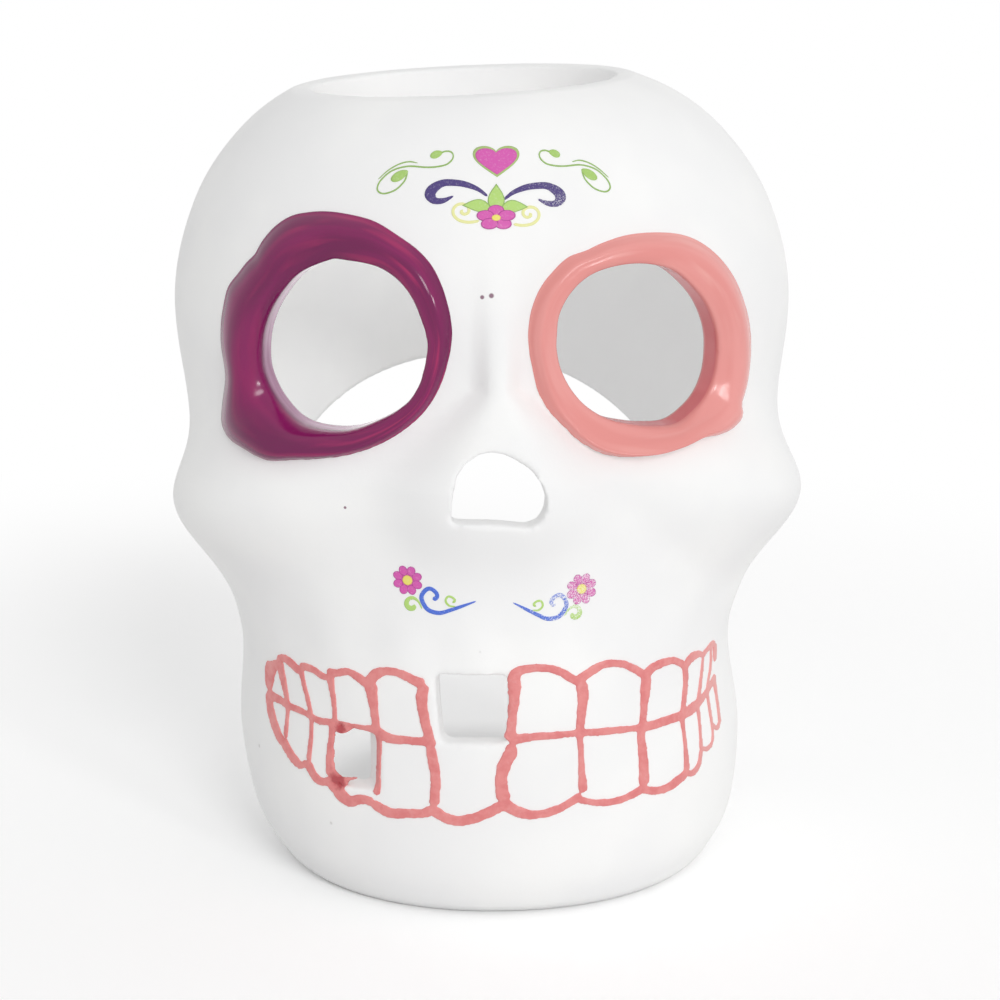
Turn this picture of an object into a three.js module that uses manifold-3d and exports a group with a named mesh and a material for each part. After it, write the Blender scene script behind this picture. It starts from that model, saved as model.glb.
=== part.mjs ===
// Hollow ceramic sugar-skull tealight lantern: one cast shell with a painted and transferred face.
// Millimetres, +Z up, the face looks towards -Y, the foot rests on z = 0.
import * as THREE from 'three';
import { mergeVertices } from 'three/addons/utils/BufferGeometryUtils.js';
import Module from 'manifold-3d';

// Cast body, station by station from the foot up: rise above the station below, half width,
// reach from the middle to the face and to the back.
const stations = {
  foot: { rise: 0, side: 44.0, face: 45.0, back: 44.0 },
  heel: { rise: 3, side: 46.5, face: 48.5, back: 47.0 },
  chin: { rise: 8, side: 50.6, face: 52.5, back: 50.5 },
  jaw: { rise: 16, side: 52.6, face: 55.0, back: 54.0 },
  lip: { rise: 18, side: 51.0, face: 56.5, back: 57.0 },
  hollow: { rise: 15, side: 53.0, face: 56.0, back: 60.0 },
  cheek: { rise: 17, side: 56.2, face: 55.0, back: 63.0 },
  orbit: { rise: 20, side: 61.0, face: 54.5, back: 65.0 },
  brow: { rise: 20, side: 63.0, face: 56.0, back: 64.0 },
  crown: { rise: 18, side: 58.8, face: 53.0, back: 59.0 },
  dome: { rise: 13, side: 50.6, face: 46.0, back: 50.0 },
  shoulder: { rise: 9, side: 39.6, face: 37.5, back: 39.0 },
  cap: { rise: 6.5, side: 23.0, face: 22.5, back: 23.0 },
};
const wall = 5;
const hollowUnderFoot = 8; // the inside runs out through the foot
const crownWall = 9; // the wall thickens towards the crown opening
const roundness = 2.1; // 2 is an ellipse, more is squarer
const jawForward = 6.5;
const jawForwardHeight = 85;
const jawSideways = 2.2;
const jawSidewaysHeight = 50;

// Cheekbones
const cheekAbove = 2.5; // over the cheek station
const cheekHeight = levelOf('cheek') + cheekAbove;
const cheekAngle = 62; // degrees round from the middle of the face
const cheekRelief = 11.2;
const cheekSpread = 24.5;
const cheekSoftAbove = 8.5;
const cheekSoftBelow = 10;
const cheekSlope = 13; // mm of fall for each radian towards the side

// Nose ridge and nose hole
const noseX = -1.2;
const noseTipAbove = 9; // over the cheek station
const noseTipHeight = levelOf('cheek') + noseTipAbove;
const noseRelief = 9;
const noseSoftAbove = 18;
const noseSoftBelow = 9;
const noseSpread = 10;
const noseFlare = 0.16;
const noseHoleDrop = 3.8;
const noseHoleFloor = noseTipHeight - noseHoleDrop;
const noseHoleWidth = 17.4;
const noseHoleHeight = 13.6;

// Brow swelling above each socket
const browX = 27;
const browAbove = 7; // over the brow station
const browHeight = levelOf('brow') + browAbove;
const browRelief = 1.8;
const browSpread = 15;
const browSoft = 6.5;

// Eye sockets: bore through the wall, this far above the orbit station, and the raised lip round it,
// whose outline is given in half widths and half heights of the bore
const lipRelief = 2.2;
const lipRoot = 2;
const leftEye = {
  angle: -32, above: 16.8, aim: -24, boreWidth: 35.6, boreHeight: 34.4,
  outline: [[1.219, 0.047], [1.09, 0.802], [0.635, 1.25], [0.045, 1.459], [-0.556, 1.366], [-1.253, 0.785],
    [-1.478, 0.279], [-1.567, -0.483], [-1.646, -1.035], [-1.41, -1.314], [-0.669, -1.291], [0.045, -1.198],
    [0.68, -0.977], [1.056, -0.512]],
};
const rightEye = {
  angle: 27.5, above: 16.2, aim: 22, boreWidth: 35.8, boreHeight: 33,
  outline: [[1.508, -0.194], [1.453, 0.291], [1.128, 0.752], [0.637, 1.164], [0.022, 1.309], [-0.57, 1.212],
    [-1.028, 0.836], [-1.251, 0.133], [-1.084, -0.582], [-0.626, -1.03], [-0.061, -1.2], [0.682, -1.297],
    [1.318, -1.188], [1.531, -0.958]],
};

// Crown opening, trimmed by a slightly leaning cut
const rimDrop = 4.1; // under the cap station
const rimHeight = levelOf('cap') - rimDrop;
const rimLean = 2.6; // degrees, up towards +X
const crownOpeningX = -3.5;
const crownOpeningWidth = 61;
const crownOpeningDepth = 56;

// Arch in the back wall, down to the foot
const archX = 1;
const archDrop = 6; // under the orbit station
const archTop = levelOf('orbit') - archDrop;
const archWidth = 88;
const archRise = 30;
const archFootWidth = 72;
const archFront = 12; // the cut starts this far behind the middle
const underFoot = 10; // and this far under the foot

// Teeth in flat millimetres along the face, wrapped on this radius
const mouthWrap = 58;
const toothStroke = 1.3;
const biteAbove = 11.6; // over the jaw station
const biteHeight = levelOf('jaw') + biteAbove;
const upperTooth = 14;
const upperGum = biteHeight + upperTooth;
const upperGumDroop = 4.2;
const lowerTooth = 15.8;
const lowerGum = biteHeight - lowerTooth;
const lowerGumLift = 9;
const gumDip = 2.2;
const mouthReach = 53;
const upperLeft = [-57, -50, -42.8, -35.4, -26.2, -14.9];
const upperRight = [1.5, 14.5, 29, 40.4, 46.4, 51];
const lowerTeeth = [-56, -48.6, -41.4, -36, -24.4, -13.6, 0.2, 14.4, 28.2, 40, 45.4, 50.4];
const frontGapLeft = -13.1;
const frontGapRight = 0.6;
const frontGapUnderBite = 0.6;
const frontGapUnderGum = 2;
const lowerGapMargin = 0.5;
const lowerGapAboveGum = 3.2;
const lowerGapUnderBite = 1;
const lowerGapTooth = 3; // counted from the left end of the lower row

// Paint and transfer films
const coatGap = 0.3;
const coat = 0.4;
const motifGap = 0.3;
const foreheadWrap = 46;
const tendrilStroke = 0.5;
const curlStroke = 0.6;

// Forehead transfers, in flat mm out from and up from the flower, the left side mirroring the right
const flowerX = -1;
const flowerAbove = 3.6; // over the crown station
const flowerY = levelOf('crown') + flowerAbove;
const flowerWidth = 6.8;
const flowerHeight = 4.6;
const flowerCentre = 0.75;
const heartRise = 9.5;
const heartWidth = 7.9;
const heartHeight = 5.4;
const heartBorder = 0.5;
const tendrilLine = [[9.4, 10.8], [8.8, 11.4], [7.7, 11.1], [7.5, 10.3], [8.4, 9.3], [10.2, 8.8], [12.5, 8.7],
  [16, 8.8], [18.7, 8], [20.4, 6.4], [20.9, 5], [20.4, 4.2], [19.2, 4], [17.4, 4.7], [16.3, 6.1], [16.4, 7]];
const tendrilEcho = [[20.9, 6.9], [19.6, 8.3], [17.8, 9.4], [16, 9.8], [14.3, 9.5], [13, 8.8]];
const tendrilBuds = [[10.2, 10.4, 1], [17.1, 7, 1.05]];
const scrollLine = [[1.7, 3.7], [3.2, 4.7], [5.5, 5.5], [7.7, 5.8], [9.9, 5.6], [11.6, 4.7], [12, 3.7],
  [11.1, 2.8], [9.5, 2.7], [8, 3.4]];
const scrollWidths = [0.5, 0.7, 1, 1.1, 1.2, 1.7, 1.8, 1.2, 0.9, 0.4];
const paleCurlLine = [[2.6, -1], [4.6, -1.2], [6.3, -0.8], [7.2, 0.4], [7, 1.6], [6, 2], [4.9, 1.6],
  [4.7, 0.6], [5.2, 0.1]];
const leafTips = [['left', -5, 2.5, 1.3], ['middle', 0, 5.4, 1.7], ['right', 5, 2.5, 1.3]];

// Transfers under the nose, in flat mm outward and up from the inner tip of each scroll, which lies
// this far above the hollow station
const lipSets = [
  { name: 'left', side: -1, x: -5.5, above: 6.2, tilt: 0 },
  { name: 'right', side: 1, x: 1.6, above: 5.8, tilt: -8 },
];
const blossomX = 13.2;
const blossomY = 3.7;
const blossomRadius = 2.8;
const blossomPetals = 8;
const blossomCentre = 1;
const lipScrollLine = [[0, 0], [2.6, -1], [5, -1.9], [7, -2.5], [9, -2.1], [10.1, -0.9], [10.5, 0.6],
  [9.7, 1.9], [8.7, 2.3], [7.6, 1.5], [7.5, 0.6], [8.2, 0.2]];
const lipScrollWidths = [0.4, 0.7, 0.8, 0.9, 0.9, 0.9, 0.9, 0.9, 0.8, 0.8, 0.8, 0.7];
const lipCurlLine = [[5.1, -0.9], [5.8, -0.1], [5.4, 0.8], [4.6, 0.75], [4, 0.1]];
const lipCommaLine = [[11.3, -1.8], [11.4, -0.5], [12.2, 0.2], [13.2, -0.1], [13.6, -1], [13, -1.8],
  [12.3, -1.7]];
const lipCommaWidths = [0.4, 0.6, 0.8, 0.9, 0.9, 0.8, 0.7];

// Cuts through the wall start well inside it and end well outside it
const cutStart = 25;
const cutDepth = 60;
const cutSpare = 40;

// Facets
const skinColumns = 48;
const skinRows = 36;
const hollowColumns = 32;
const hollowRows = 18;
const frontCrowding = 0.36;
const lipSegments = 32;
const lipFacets = 8;
const boreSegments = 32;
const curveSegments = 6;
const openingSegments = 12;
const strokeStep = 2.6;

const wasm = await Module();
wasm.setup();
const deg = THREE.MathUtils.degToRad;
const up = new THREE.Vector3(0, 0, 1);

function solid(geometry) {
  const bare = geometry.clone();
  bare.deleteAttribute('normal');
  bare.deleteAttribute('uv');
  const welded = mergeVertices(bare, 1e-4);
  const vertProperties = new Float32Array(welded.attributes.position.array);
  const triVerts = new Uint32Array(welded.index.array);
  return new wasm.Manifold(new wasm.Mesh({ numProp: 3, vertProperties, triVerts }));
}

// Height of a station above the foot
function levelOf(name) {
  let level = 0;
  for (const [each, station] of Object.entries(stations)) {
    level += station.rise;
    if (each === name) break;
  }
  return level;
}

function bell(offset, soft) {
  return Math.exp(-0.5 * (offset / soft) ** 2);
}

// Cast skin: a point on the outer surface for an angle round from the face and a place 0..1 up the stations
const widthPoints = [];
const backPoints = [];
for (const [name, station] of Object.entries(stations)) {
  widthPoints.push(new THREE.Vector3(station.side, station.face, levelOf(name)));
  backPoints.push(new THREE.Vector3(station.back, 0, levelOf(name)));
}
const widest = Math.max(...Object.values(stations).flatMap((s) => [s.side, s.face, s.back]));
const widthCurve = new THREE.CatmullRomCurve3(widthPoints, false, 'catmullrom', 0.5);
const backCurve = new THREE.CatmullRomCurve3(backPoints, false, 'catmullrom', 0.5);

function relief(x, angle, z) {
  const turn = Math.abs(angle);
  const ridge = cheekHeight + (deg(cheekAngle) - turn) * cheekSlope;
  const soft = z > ridge ? cheekSoftAbove : cheekSoftBelow;
  let rise = cheekRelief * bell(turn - deg(cheekAngle), deg(cheekSpread)) * bell(z - ridge, soft);
  if (turn < Math.PI / 2) {
    const noseSoft = z > noseTipHeight ? noseSoftAbove : noseSoftBelow;
    const noseWidth = Math.max(noseSpread - noseFlare * (z - noseTipHeight), noseSpread / 3);
    rise += noseRelief * bell(z - noseTipHeight, noseSoft) * bell(x - noseX, noseWidth);
    rise += browRelief * bell(z - browHeight, browSoft) * bell(Math.abs(x) - browX, browSpread);
  }
  return rise;
}

function skin(angle, place) {
  const { x: side, y: face, z } = widthCurve.getPoint(place);
  const reach = Math.cos(angle) > 0 ? face : backCurve.getPoint(place).x;
  const sideways = (Math.abs(Math.sin(angle)) / side) ** roundness;
  const ahead = (Math.abs(Math.cos(angle)) / reach) ** roundness;
  const plain = (sideways + ahead) ** (-1 / roundness);
  const radius = plain + relief(plain * Math.sin(angle), angle, z);
  const shiftX = jawSideways * Math.max(0, 1 - z / jawSidewaysHeight);
  const shiftY = -jawForward * Math.max(0, 1 - z / jawForwardHeight);
  return new THREE.Vector3(shiftX + radius * Math.sin(angle), shiftY - radius * Math.cos(angle), z);
}

function raised(angle, place, height) {
  const step = 0.004;
  const round = skin(angle + step, place).sub(skin(angle - step, place));
  const rise = skin(angle, Math.min(1, place + step)).sub(skin(angle, Math.max(0, place - step)));
  return skin(angle, place).addScaledVector(round.cross(rise).normalize(), height);
}

// Closed body on the skin, grown or shrunk by an offset for each place, standing on the given floor
function castBody(offset, columns, rows, floor) {
  const geometry = new THREE.CylinderGeometry(1, 1, 1, columns, rows).rotateX(Math.PI / 2);
  const position = geometry.attributes.position;
  const point = new THREE.Vector3();
  for (let i = 0; i < position.count; i++) {
    point.fromBufferAttribute(position, i);
    const even = Math.atan2(point.x, -point.y);
    const onWall = Math.hypot(point.x, point.y) > 0.5;
    const place = widthCurve.getUtoTmapping(THREE.MathUtils.clamp(point.z + 0.5, 0, 1));
    const moved = raised(even - frontCrowding * Math.sin(even), place, offset(place));
    if (!onWall) moved.set(0, 0, moved.z);
    if (point.z < -0.499) moved.z = floor;
    position.setXYZ(i, moved.x, moved.y, moved.z);
  }
  return solid(geometry);
}

// Place up the stations that lies at a height
function placeAt(z) {
  let low = 0;
  let high = 1;
  for (let i = 0; i < 40; i++) {
    const middle = (low + high) / 2;
    if (widthCurve.getPoint(middle).z < z) low = middle;
    else high = middle;
  }
  return (low + high) / 2;
}

function socketFrame(eye) {
  const aim = deg(eye.aim);
  return {
    centre: skin(deg(eye.angle), placeAt(levelOf('orbit') + eye.above)),
    across: new THREE.Vector3(Math.cos(aim), Math.sin(aim), 0),
    out: new THREE.Vector3(Math.sin(aim), -Math.cos(aim), 0),
  };
}

// Skin point at a distance across and up from a socket centre
function onSkin(frame, across, rise) {
  const place = placeAt(frame.centre.z + rise);
  let low = -Math.PI / 2;
  let high = Math.PI / 2;
  for (let i = 0; i < 40; i++) {
    const middle = (low + high) / 2;
    if (skin(middle, place).sub(frame.centre).dot(frame.across) < across) low = middle;
    else high = middle;
  }
  return skin((low + high) / 2, place);
}

// Raised lip round a socket: a ring whose section reaches from inside the bore to the painted outline
function socketLip(eye, grow) {
  const frame = socketFrame(eye);
  const outline = new THREE.CatmullRomCurve3(
    eye.outline.map(([u, v]) => new THREE.Vector3(u * eye.boreWidth / 2, v * eye.boreHeight / 2, 0)),
    true, 'centripetal');
  const geometry = new THREE.TorusGeometry(1, 0.4, lipFacets, lipSegments);
  const position = geometry.attributes.position;
  const point = new THREE.Vector3();
  for (let i = 0; i < position.count; i++) {
    point.fromBufferAttribute(position, i);
    const turn = Math.atan2(point.y, point.x);
    const tube = Math.atan2(point.z, Math.hypot(point.x, point.y) - 1);
    const edge = outline.getPointAt(((turn / (2 * Math.PI)) % 1 + 1) % 1);
    const round = Math.atan2(edge.y, edge.x);
    const inner = 0.9 * Math.min(eye.boreWidth, eye.boreHeight) / 2;
    const middle = (edge.length() + inner) / 2;
    const across = middle + ((edge.length() - inner) / 2 + grow) * Math.cos(tube);
    const height = Math.sin(tube) > 0 ? (lipRelief + grow) * Math.sin(tube) : lipRoot * Math.sin(tube);
    const foot = onSkin(frame, across * Math.cos(round), across * Math.sin(round));
    foot.addScaledVector(frame.out, height);
    position.setXYZ(i, foot.x, foot.y, foot.z);
  }
  return solid(geometry);
}

function socketBore(eye, shrink) {
  const frame = socketFrame(eye);
  const geometry = new THREE.CylinderGeometry(1, 1, cutDepth, boreSegments);
  geometry.scale(eye.boreWidth / 2 - shrink, 1, eye.boreHeight / 2 - shrink);
  geometry.applyMatrix4(new THREE.Matrix4().makeBasis(frame.across.clone().negate(), frame.out, up));
  geometry.translate(frame.centre.x, frame.centre.y, frame.centre.z);
  return solid(geometry);
}

// Flat shape in (along, height), pushed through the front wall on a wrap radius
function wrapped(shape, wrap) {
  const geometry = new THREE.ExtrudeGeometry(shape, { depth: cutDepth, bevelEnabled: false, curveSegments });
  const position = geometry.attributes.position;
  for (let i = 0; i < position.count; i++) {
    const turn = position.getX(i) / wrap;
    const radius = cutStart + position.getZ(i);
    const z = position.getY(i);
    position.setXYZ(i, radius * Math.sin(turn), -radius * Math.cos(turn), z);
  }
  return solid(geometry);
}

// Brush stroke along flat points, with a width at each point
function stroke(points, widths) {
  const knots = points.map(([x, y]) => new THREE.Vector3(x, y, 0));
  const curve = new THREE.CatmullRomCurve3(knots, false, 'centripetal');
  const steps = points.length === 2 ? 1 : Math.max(points.length, Math.ceil(curve.getLength() / strokeStep));
  const one = [];
  const other = [];
  for (let i = 0; i <= steps; i++) {
    const place = curve.getUtoTmapping(i / steps);
    const at = curve.getPoint(place);
    const way = curve.getTangent(place);
    const from = Math.min(points.length - 2, Math.floor(place * (points.length - 1)));
    const half = THREE.MathUtils.lerp(widths[from], widths[from + 1], place * (points.length - 1) - from) / 2;
    one.push(new THREE.Vector2(at.x - way.y * half, at.y + way.x * half));
    other.unshift(new THREE.Vector2(at.x + way.y * half, at.y - way.x * half));
  }
  return new THREE.Shape([...one, ...other]);
}

function evenStroke(points, width) {
  return stroke(points, points.map(() => width));
}

function disc(x, y, radius) {
  const shape = new THREE.Shape();
  shape.absarc(x, y, radius, 0, 2 * Math.PI);
  return shape;
}

function leaf(x, y, tipX, tipY, width) {
  const way = new THREE.Vector2(tipX - x, tipY - y);
  const side = new THREE.Vector2(-way.y, way.x).normalize().multiplyScalar(width);
  const shape = new THREE.Shape();
  shape.moveTo(x, y);
  shape.quadraticCurveTo(x + way.x / 2 - side.x, y + way.y / 2 - side.y, tipX, tipY);
  shape.quadraticCurveTo(x + way.x / 2 + side.x, y + way.y / 2 + side.y, x, y);
  return shape;
}

function blossom(x, y, width, height, petals, turn) {
  const shape = new THREE.Shape();
  const count = petals * 4;
  for (let i = 0; i < count; i++) {
    const at = 2 * Math.PI * i / count;
    const reach = 0.35 + 0.15 * Math.abs(Math.cos(petals * at / 2)) ** 0.6;
    const x1 = x + reach * width * Math.cos(at + turn);
    const y1 = y + reach * height * Math.sin(at + turn);
    if (i === 0) shape.moveTo(x1, y1);
    else shape.lineTo(x1, y1);
  }
  return shape;
}

function heart(x, y, width, height) {
  const half = width / 2;
  const tip = y - height / 2;
  const lobe = y + height * 0.2;
  const top = y + height * 0.57;
  const cleft = y + height * 0.25;
  const shape = new THREE.Shape();
  shape.moveTo(x, tip);
  shape.bezierCurveTo(x - half * 0.6, y - height * 0.2, x - half, y, x - half, lobe);
  shape.bezierCurveTo(x - half, top, x - half * 0.2, top, x, cleft);
  shape.bezierCurveTo(x + half * 0.2, top, x + half, top, x + half, lobe);
  shape.bezierCurveTo(x + half, y, x + half * 0.6, y - height * 0.2, x, tip);
  return shape;
}

// Cuts through the shell
function noseCut() {
  const half = noseHoleWidth / 2;
  const shoulder = 0.42 * noseHoleHeight;
  const shape = new THREE.Shape();
  shape.moveTo(noseX - half, noseHoleFloor);
  shape.lineTo(noseX + half * 0.84, noseHoleFloor);
  shape.absellipse(noseX, noseHoleFloor + shoulder, half, noseHoleHeight - shoulder, -0.45, Math.PI);
  shape.lineTo(noseX - half, noseHoleFloor);
  const how = { depth: cutDepth, bevelEnabled: false, curveSegments: openingSegments };
  const geometry = new THREE.ExtrudeGeometry(shape, how).rotateX(Math.PI / 2);
  return solid(geometry.translate(0, -cutStart, 0));
}

function archCut() {
  const half = archWidth / 2;
  const foot = archFootWidth / 2;
  const spring = archTop - archRise;
  const shape = new THREE.Shape();
  shape.moveTo(archX - foot, -underFoot);
  shape.lineTo(archX + foot, -underFoot);
  shape.quadraticCurveTo(archX + half, spring / 2, archX + half, spring);
  shape.absellipse(archX, spring, half, archRise, 0, Math.PI);
  shape.quadraticCurveTo(archX - half, spring / 2, archX - foot, -underFoot);
  const depth = widest + cutSpare;
  const how = { depth, bevelEnabled: false, curveSegments: openingSegments };
  const geometry = new THREE.ExtrudeGeometry(shape, how).rotateX(Math.PI / 2);
  return solid(geometry.translate(0, archFront + depth, 0));
}

function rimCut() {
  const side = 2 * (widest + cutSpare);
  const geometry = new THREE.BoxGeometry(side, side, cutSpare).translate(0, 0, cutSpare / 2);
  return solid(geometry.rotateY(-deg(rimLean)).translate(0, 0, rimHeight));
}

function crownCut() {
  const geometry = new THREE.CylinderGeometry(1, 1, cutDepth, boreSegments).rotateX(Math.PI / 2);
  geometry.scale(crownOpeningWidth / 2, crownOpeningDepth / 2, 1);
  return solid(geometry.translate(crownOpeningX, 0, rimHeight));
}

function gapCut(left, right, floor, top) {
  const shape = new THREE.Shape();
  shape.moveTo(left, floor);
  shape.lineTo(right, floor);
  shape.lineTo(right, top);
  shape.lineTo(left, top);
  return wrapped(shape, mouthWrap);
}

// Shell
const stationNames = Object.keys(stations);
const domePlace = stationNames.indexOf('dome') / (stationNames.length - 1);
const thickening = (place) => THREE.MathUtils.smoothstep(place, domePlace, 1);
const wallAt = (place) => THREE.MathUtils.lerp(wall, crownWall, thickening(place));
const plainSkin = castBody(() => 0, skinColumns, skinRows, 0);
const hollow = castBody((place) => -wallAt(place), hollowColumns, hollowRows, -hollowUnderFoot);
const leftBore = socketBore(leftEye, 0);
const rightBore = socketBore(rightEye, 0);
const frontGapFloor = biteHeight - frontGapUnderBite;
const frontGapTop = upperGum - frontGapUnderGum;
const lowerGapFloor = lowerGum + lowerGapAboveGum;
const lowerGapTop = biteHeight - lowerGapUnderBite;
const lowerGapLeft = lowerTeeth[lowerGapTooth] + toothStroke / 2 + lowerGapMargin;
const lowerGapRight = lowerTeeth[lowerGapTooth + 1] - toothStroke / 2 - lowerGapMargin;
const shell = plainSkin.add(socketLip(leftEye, 0)).add(socketLip(rightEye, 0))
  .subtract(hollow)
  .subtract(leftBore)
  .subtract(rightBore)
  .subtract(noseCut())
  .subtract(archCut())
  .subtract(rimCut())
  .subtract(crownCut())
  .subtract(gapCut(frontGapLeft, frontGapRight, frontGapFloor, frontGapTop))
  .subtract(gapCut(lowerGapLeft, lowerGapRight, lowerGapFloor, lowerGapTop));

// Films lie in a thin layer that stands off the skin by the coat gap
const underCoat = castBody(() => coatGap, skinColumns, skinRows, 0);
const coatLayer = castBody(() => coatGap + coat, skinColumns, skinRows, 0).subtract(underCoat);

function film(shapes, wrap, keepOff = []) {
  let body = wrapped(shapes[0], wrap);
  for (const shape of shapes.slice(1)) body = body.add(wrapped(shape, wrap));
  for (const shape of keepOff) body = body.subtract(wrapped(shape, wrap));
  return coatLayer.intersect(body);
}

// Lacquer on a socket lip, turned in over the edge as a sleeve down the bore
function lacquer(eye) {
  const outside = socketLip(eye, coatGap + coat);
  const inside = socketBore(eye, coatGap + coat);
  const face = outside.subtract(socketLip(eye, coatGap)).subtract(underCoat);
  const sleeve = socketBore(eye, coatGap).intersect(plainSkin.add(outside)).subtract(hollow);
  return face.add(sleeve).subtract(inside);
}

// Tooth outlines: gum arcs, bite line and dividers as one painted net
function gumLine(row, crest, dip, spread) {
  const points = [];
  for (let i = 0; i + 1 < row.length; i++) {
    const middle = (row[i] + row[i + 1]) / 2;
    points.push([row[i], dip(row[i])]);
    points.push([middle - spread * (middle - row[i]), crest(middle)]);
    points.push([middle + spread * (middle - row[i]), crest(middle)]);
  }
  const last = row[row.length - 1];
  points.push([last, dip(last)]);
  return evenStroke(points, toothStroke);
}

function toothNet() {
  const upperCrest = (s) => upperGum - upperGumDroop * (s / mouthReach) ** 2;
  const lowerCrest = (s) => lowerGum + lowerGumLift * (s / mouthReach) ** 4;
  const upperDip = (s) => upperCrest(s) - gumDip;
  const lowerDip = (s) => lowerCrest(s) + gumDip;
  const line = (a, b) => evenStroke([a, b], toothStroke);
  const shapes = [
    gumLine(upperLeft, upperCrest, upperDip, 0.4),
    gumLine(upperRight, upperCrest, upperDip, 0.4),
    gumLine(lowerTeeth, lowerCrest, lowerDip, 0.4),
  ];
  for (const s of [...upperLeft, ...upperRight]) shapes.push(line([s, upperDip(s) + 0.3], [s, biteHeight]));
  for (const s of lowerTeeth) shapes.push(line([s, lowerDip(s) - 0.3], [s, biteHeight]));
  for (const row of [upperLeft, upperRight]) {
    shapes.push(line([row[0] - toothStroke / 2, biteHeight], [row.at(-1) + toothStroke / 2, biteHeight]));
  }
  return film(shapes, mouthWrap);
}

// Forehead transfers
function onForehead(points, side) {
  return points.map(([x, y, ...rest]) => [flowerX + side * x, flowerY + y, ...rest]);
}

function tendril(side) {
  return film([
    evenStroke(onForehead(tendrilLine, side), tendrilStroke),
    evenStroke(onForehead(tendrilEcho, side), tendrilStroke),
    ...onForehead(tendrilBuds, side).map((bud) => disc(...bud)),
  ], foreheadWrap);
}

function paleCurl(side, grow) {
  return evenStroke(onForehead(paleCurlLine, side), curlStroke + 2 * grow);
}

function foreheadFlower(grow) {
  return blossom(flowerX, flowerY, flowerWidth + 2 * grow, flowerHeight + 2 * grow, 5, Math.PI / 2);
}

function foreheadHeart(shrink) {
  return heart(flowerX, flowerY + heartRise, heartWidth - 2.4 * shrink, heartHeight - 2 * shrink);
}

// One set of transfers under the nose: every point turned by the set's tilt, then placed on its side
function lipSet(set) {
  const turn = deg(set.tilt);
  const at = ([x, y]) => [
    set.x + set.side * (x * Math.cos(turn) - y * Math.sin(turn)),
    levelOf('hollow') + set.above + x * Math.sin(turn) + y * Math.cos(turn),
  ];
  const bloom = at([blossomX, blossomY]);
  const bloomClear = disc(...bloom, blossomCentre + motifGap);
  const petals = blossom(...bloom, 2 * blossomRadius, 2 * blossomRadius, blossomPetals, 0);
  const vine = stroke(lipScrollLine.map(at), lipScrollWidths);
  const vineClear = stroke(lipScrollLine.map(at), lipScrollWidths.map((width) => width + 2 * motifGap));
  const curl = evenStroke(lipCurlLine.map(at), curlStroke);
  const comma = stroke(lipCommaLine.map(at), lipCommaWidths);
  return [
    [`${set.name}_lip_blossom_transfer`, film([petals], mouthWrap, [bloomClear]), 'magenta'],
    [`${set.name}_lip_blossom_centre_transfer`, film([disc(...bloom, blossomCentre)], mouthWrap), 'yellow'],
    [`${set.name}_lip_scroll_transfer`, film([vine], mouthWrap), 'blue'],
    [`${set.name}_lip_curl_transfer`, film([curl], mouthWrap, [vineClear]), 'leafGreen'],
    [`${set.name}_lip_comma_transfer`, film([comma], mouthWrap, [vineClear]), 'leafGreen'],
  ];
}

const looks = {
  bisque: { color: 0xf1f0ee, roughness: 0.72, metalness: 0 },
  plum: { color: 0x6d2352, roughness: 0.3, metalness: 0 },
  coral: { color: 0xe8938c, roughness: 0.35, metalness: 0 },
  toothPaint: { color: 0xe18684, roughness: 0.5, metalness: 0 },
  magenta: { color: 0xcf58b2, roughness: 0.45, metalness: 0 },
  olive: { color: 0x9ab860, roughness: 0.45, metalness: 0 },
  leafGreen: { color: 0xaad264, roughness: 0.45, metalness: 0 },
  indigo: { color: 0x453378, roughness: 0.45, metalness: 0 },
  yellow: { color: 0xf0e04e, roughness: 0.45, metalness: 0 },
  paleYellow: { color: 0xe9e79a, roughness: 0.45, metalness: 0 },
  blue: { color: 0x4468d2, roughness: 0.45, metalness: 0 },
};

const flowerEye = disc(flowerX, flowerY, flowerCentre);
const flowerEyeClear = disc(flowerX, flowerY, flowerCentre + motifGap);
const pieces = [
  ['skull_shell', shell, 'bisque'],
  ['left_socket_lacquer', lacquer(leftEye), 'plum'],
  ['right_socket_lacquer', lacquer(rightEye), 'coral'],
  ['tooth_outline_paint', toothNet(), 'toothPaint'],
  ['heart_transfer', film([foreheadHeart(heartBorder + motifGap)], foreheadWrap), 'magenta'],
  ['heart_border_transfer', film([foreheadHeart(0)], foreheadWrap, [foreheadHeart(heartBorder)]), 'olive'],
  ['flower_transfer', film([foreheadFlower(0)], foreheadWrap, [flowerEyeClear]), 'magenta'],
  ['flower_centre_transfer', film([flowerEye], foreheadWrap), 'yellow'],
];
for (const [name, side] of [['left', -1], ['right', 1]]) {
  const band = stroke(onForehead(scrollLine, side), scrollWidths);
  pieces.push([`${name}_tendril_transfer`, tendril(side), 'leafGreen']);
  pieces.push([`${name}_scroll_transfer`, film([band], foreheadWrap), 'indigo']);
  const curl = film([paleCurl(side, 0)], foreheadWrap, [foreheadFlower(motifGap)]);
  pieces.push([`${name}_pale_curl_transfer`, curl, 'paleYellow']);
}
for (const [name, x, y, width] of leafTips) {
  const blade = leaf(flowerX, flowerY, flowerX + x, flowerY + y, width);
  const keepOff = [foreheadFlower(motifGap), paleCurl(-1, motifGap), paleCurl(1, motifGap)];
  pieces.push([`${name}_leaf_transfer`, film([blade], foreheadWrap, keepOff), 'leafGreen']);
}
for (const set of lipSets) pieces.push(...lipSet(set));

const box = new THREE.Box3();
const built = pieces.map(([name, body, look]) => {
  const data = body.getMesh();
  const geometry = new THREE.BufferGeometry();
  geometry.setAttribute('position', new THREE.BufferAttribute(new Float32Array(data.vertProperties), 3));
  geometry.setIndex(new THREE.BufferAttribute(new Uint32Array(data.triVerts), 1));
  geometry.computeBoundingBox();
  box.union(geometry.boundingBox);
  const mesh = new THREE.Mesh(geometry, new THREE.MeshStandardMaterial(looks[look]));
  mesh.name = name;
  return mesh;
});

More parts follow.
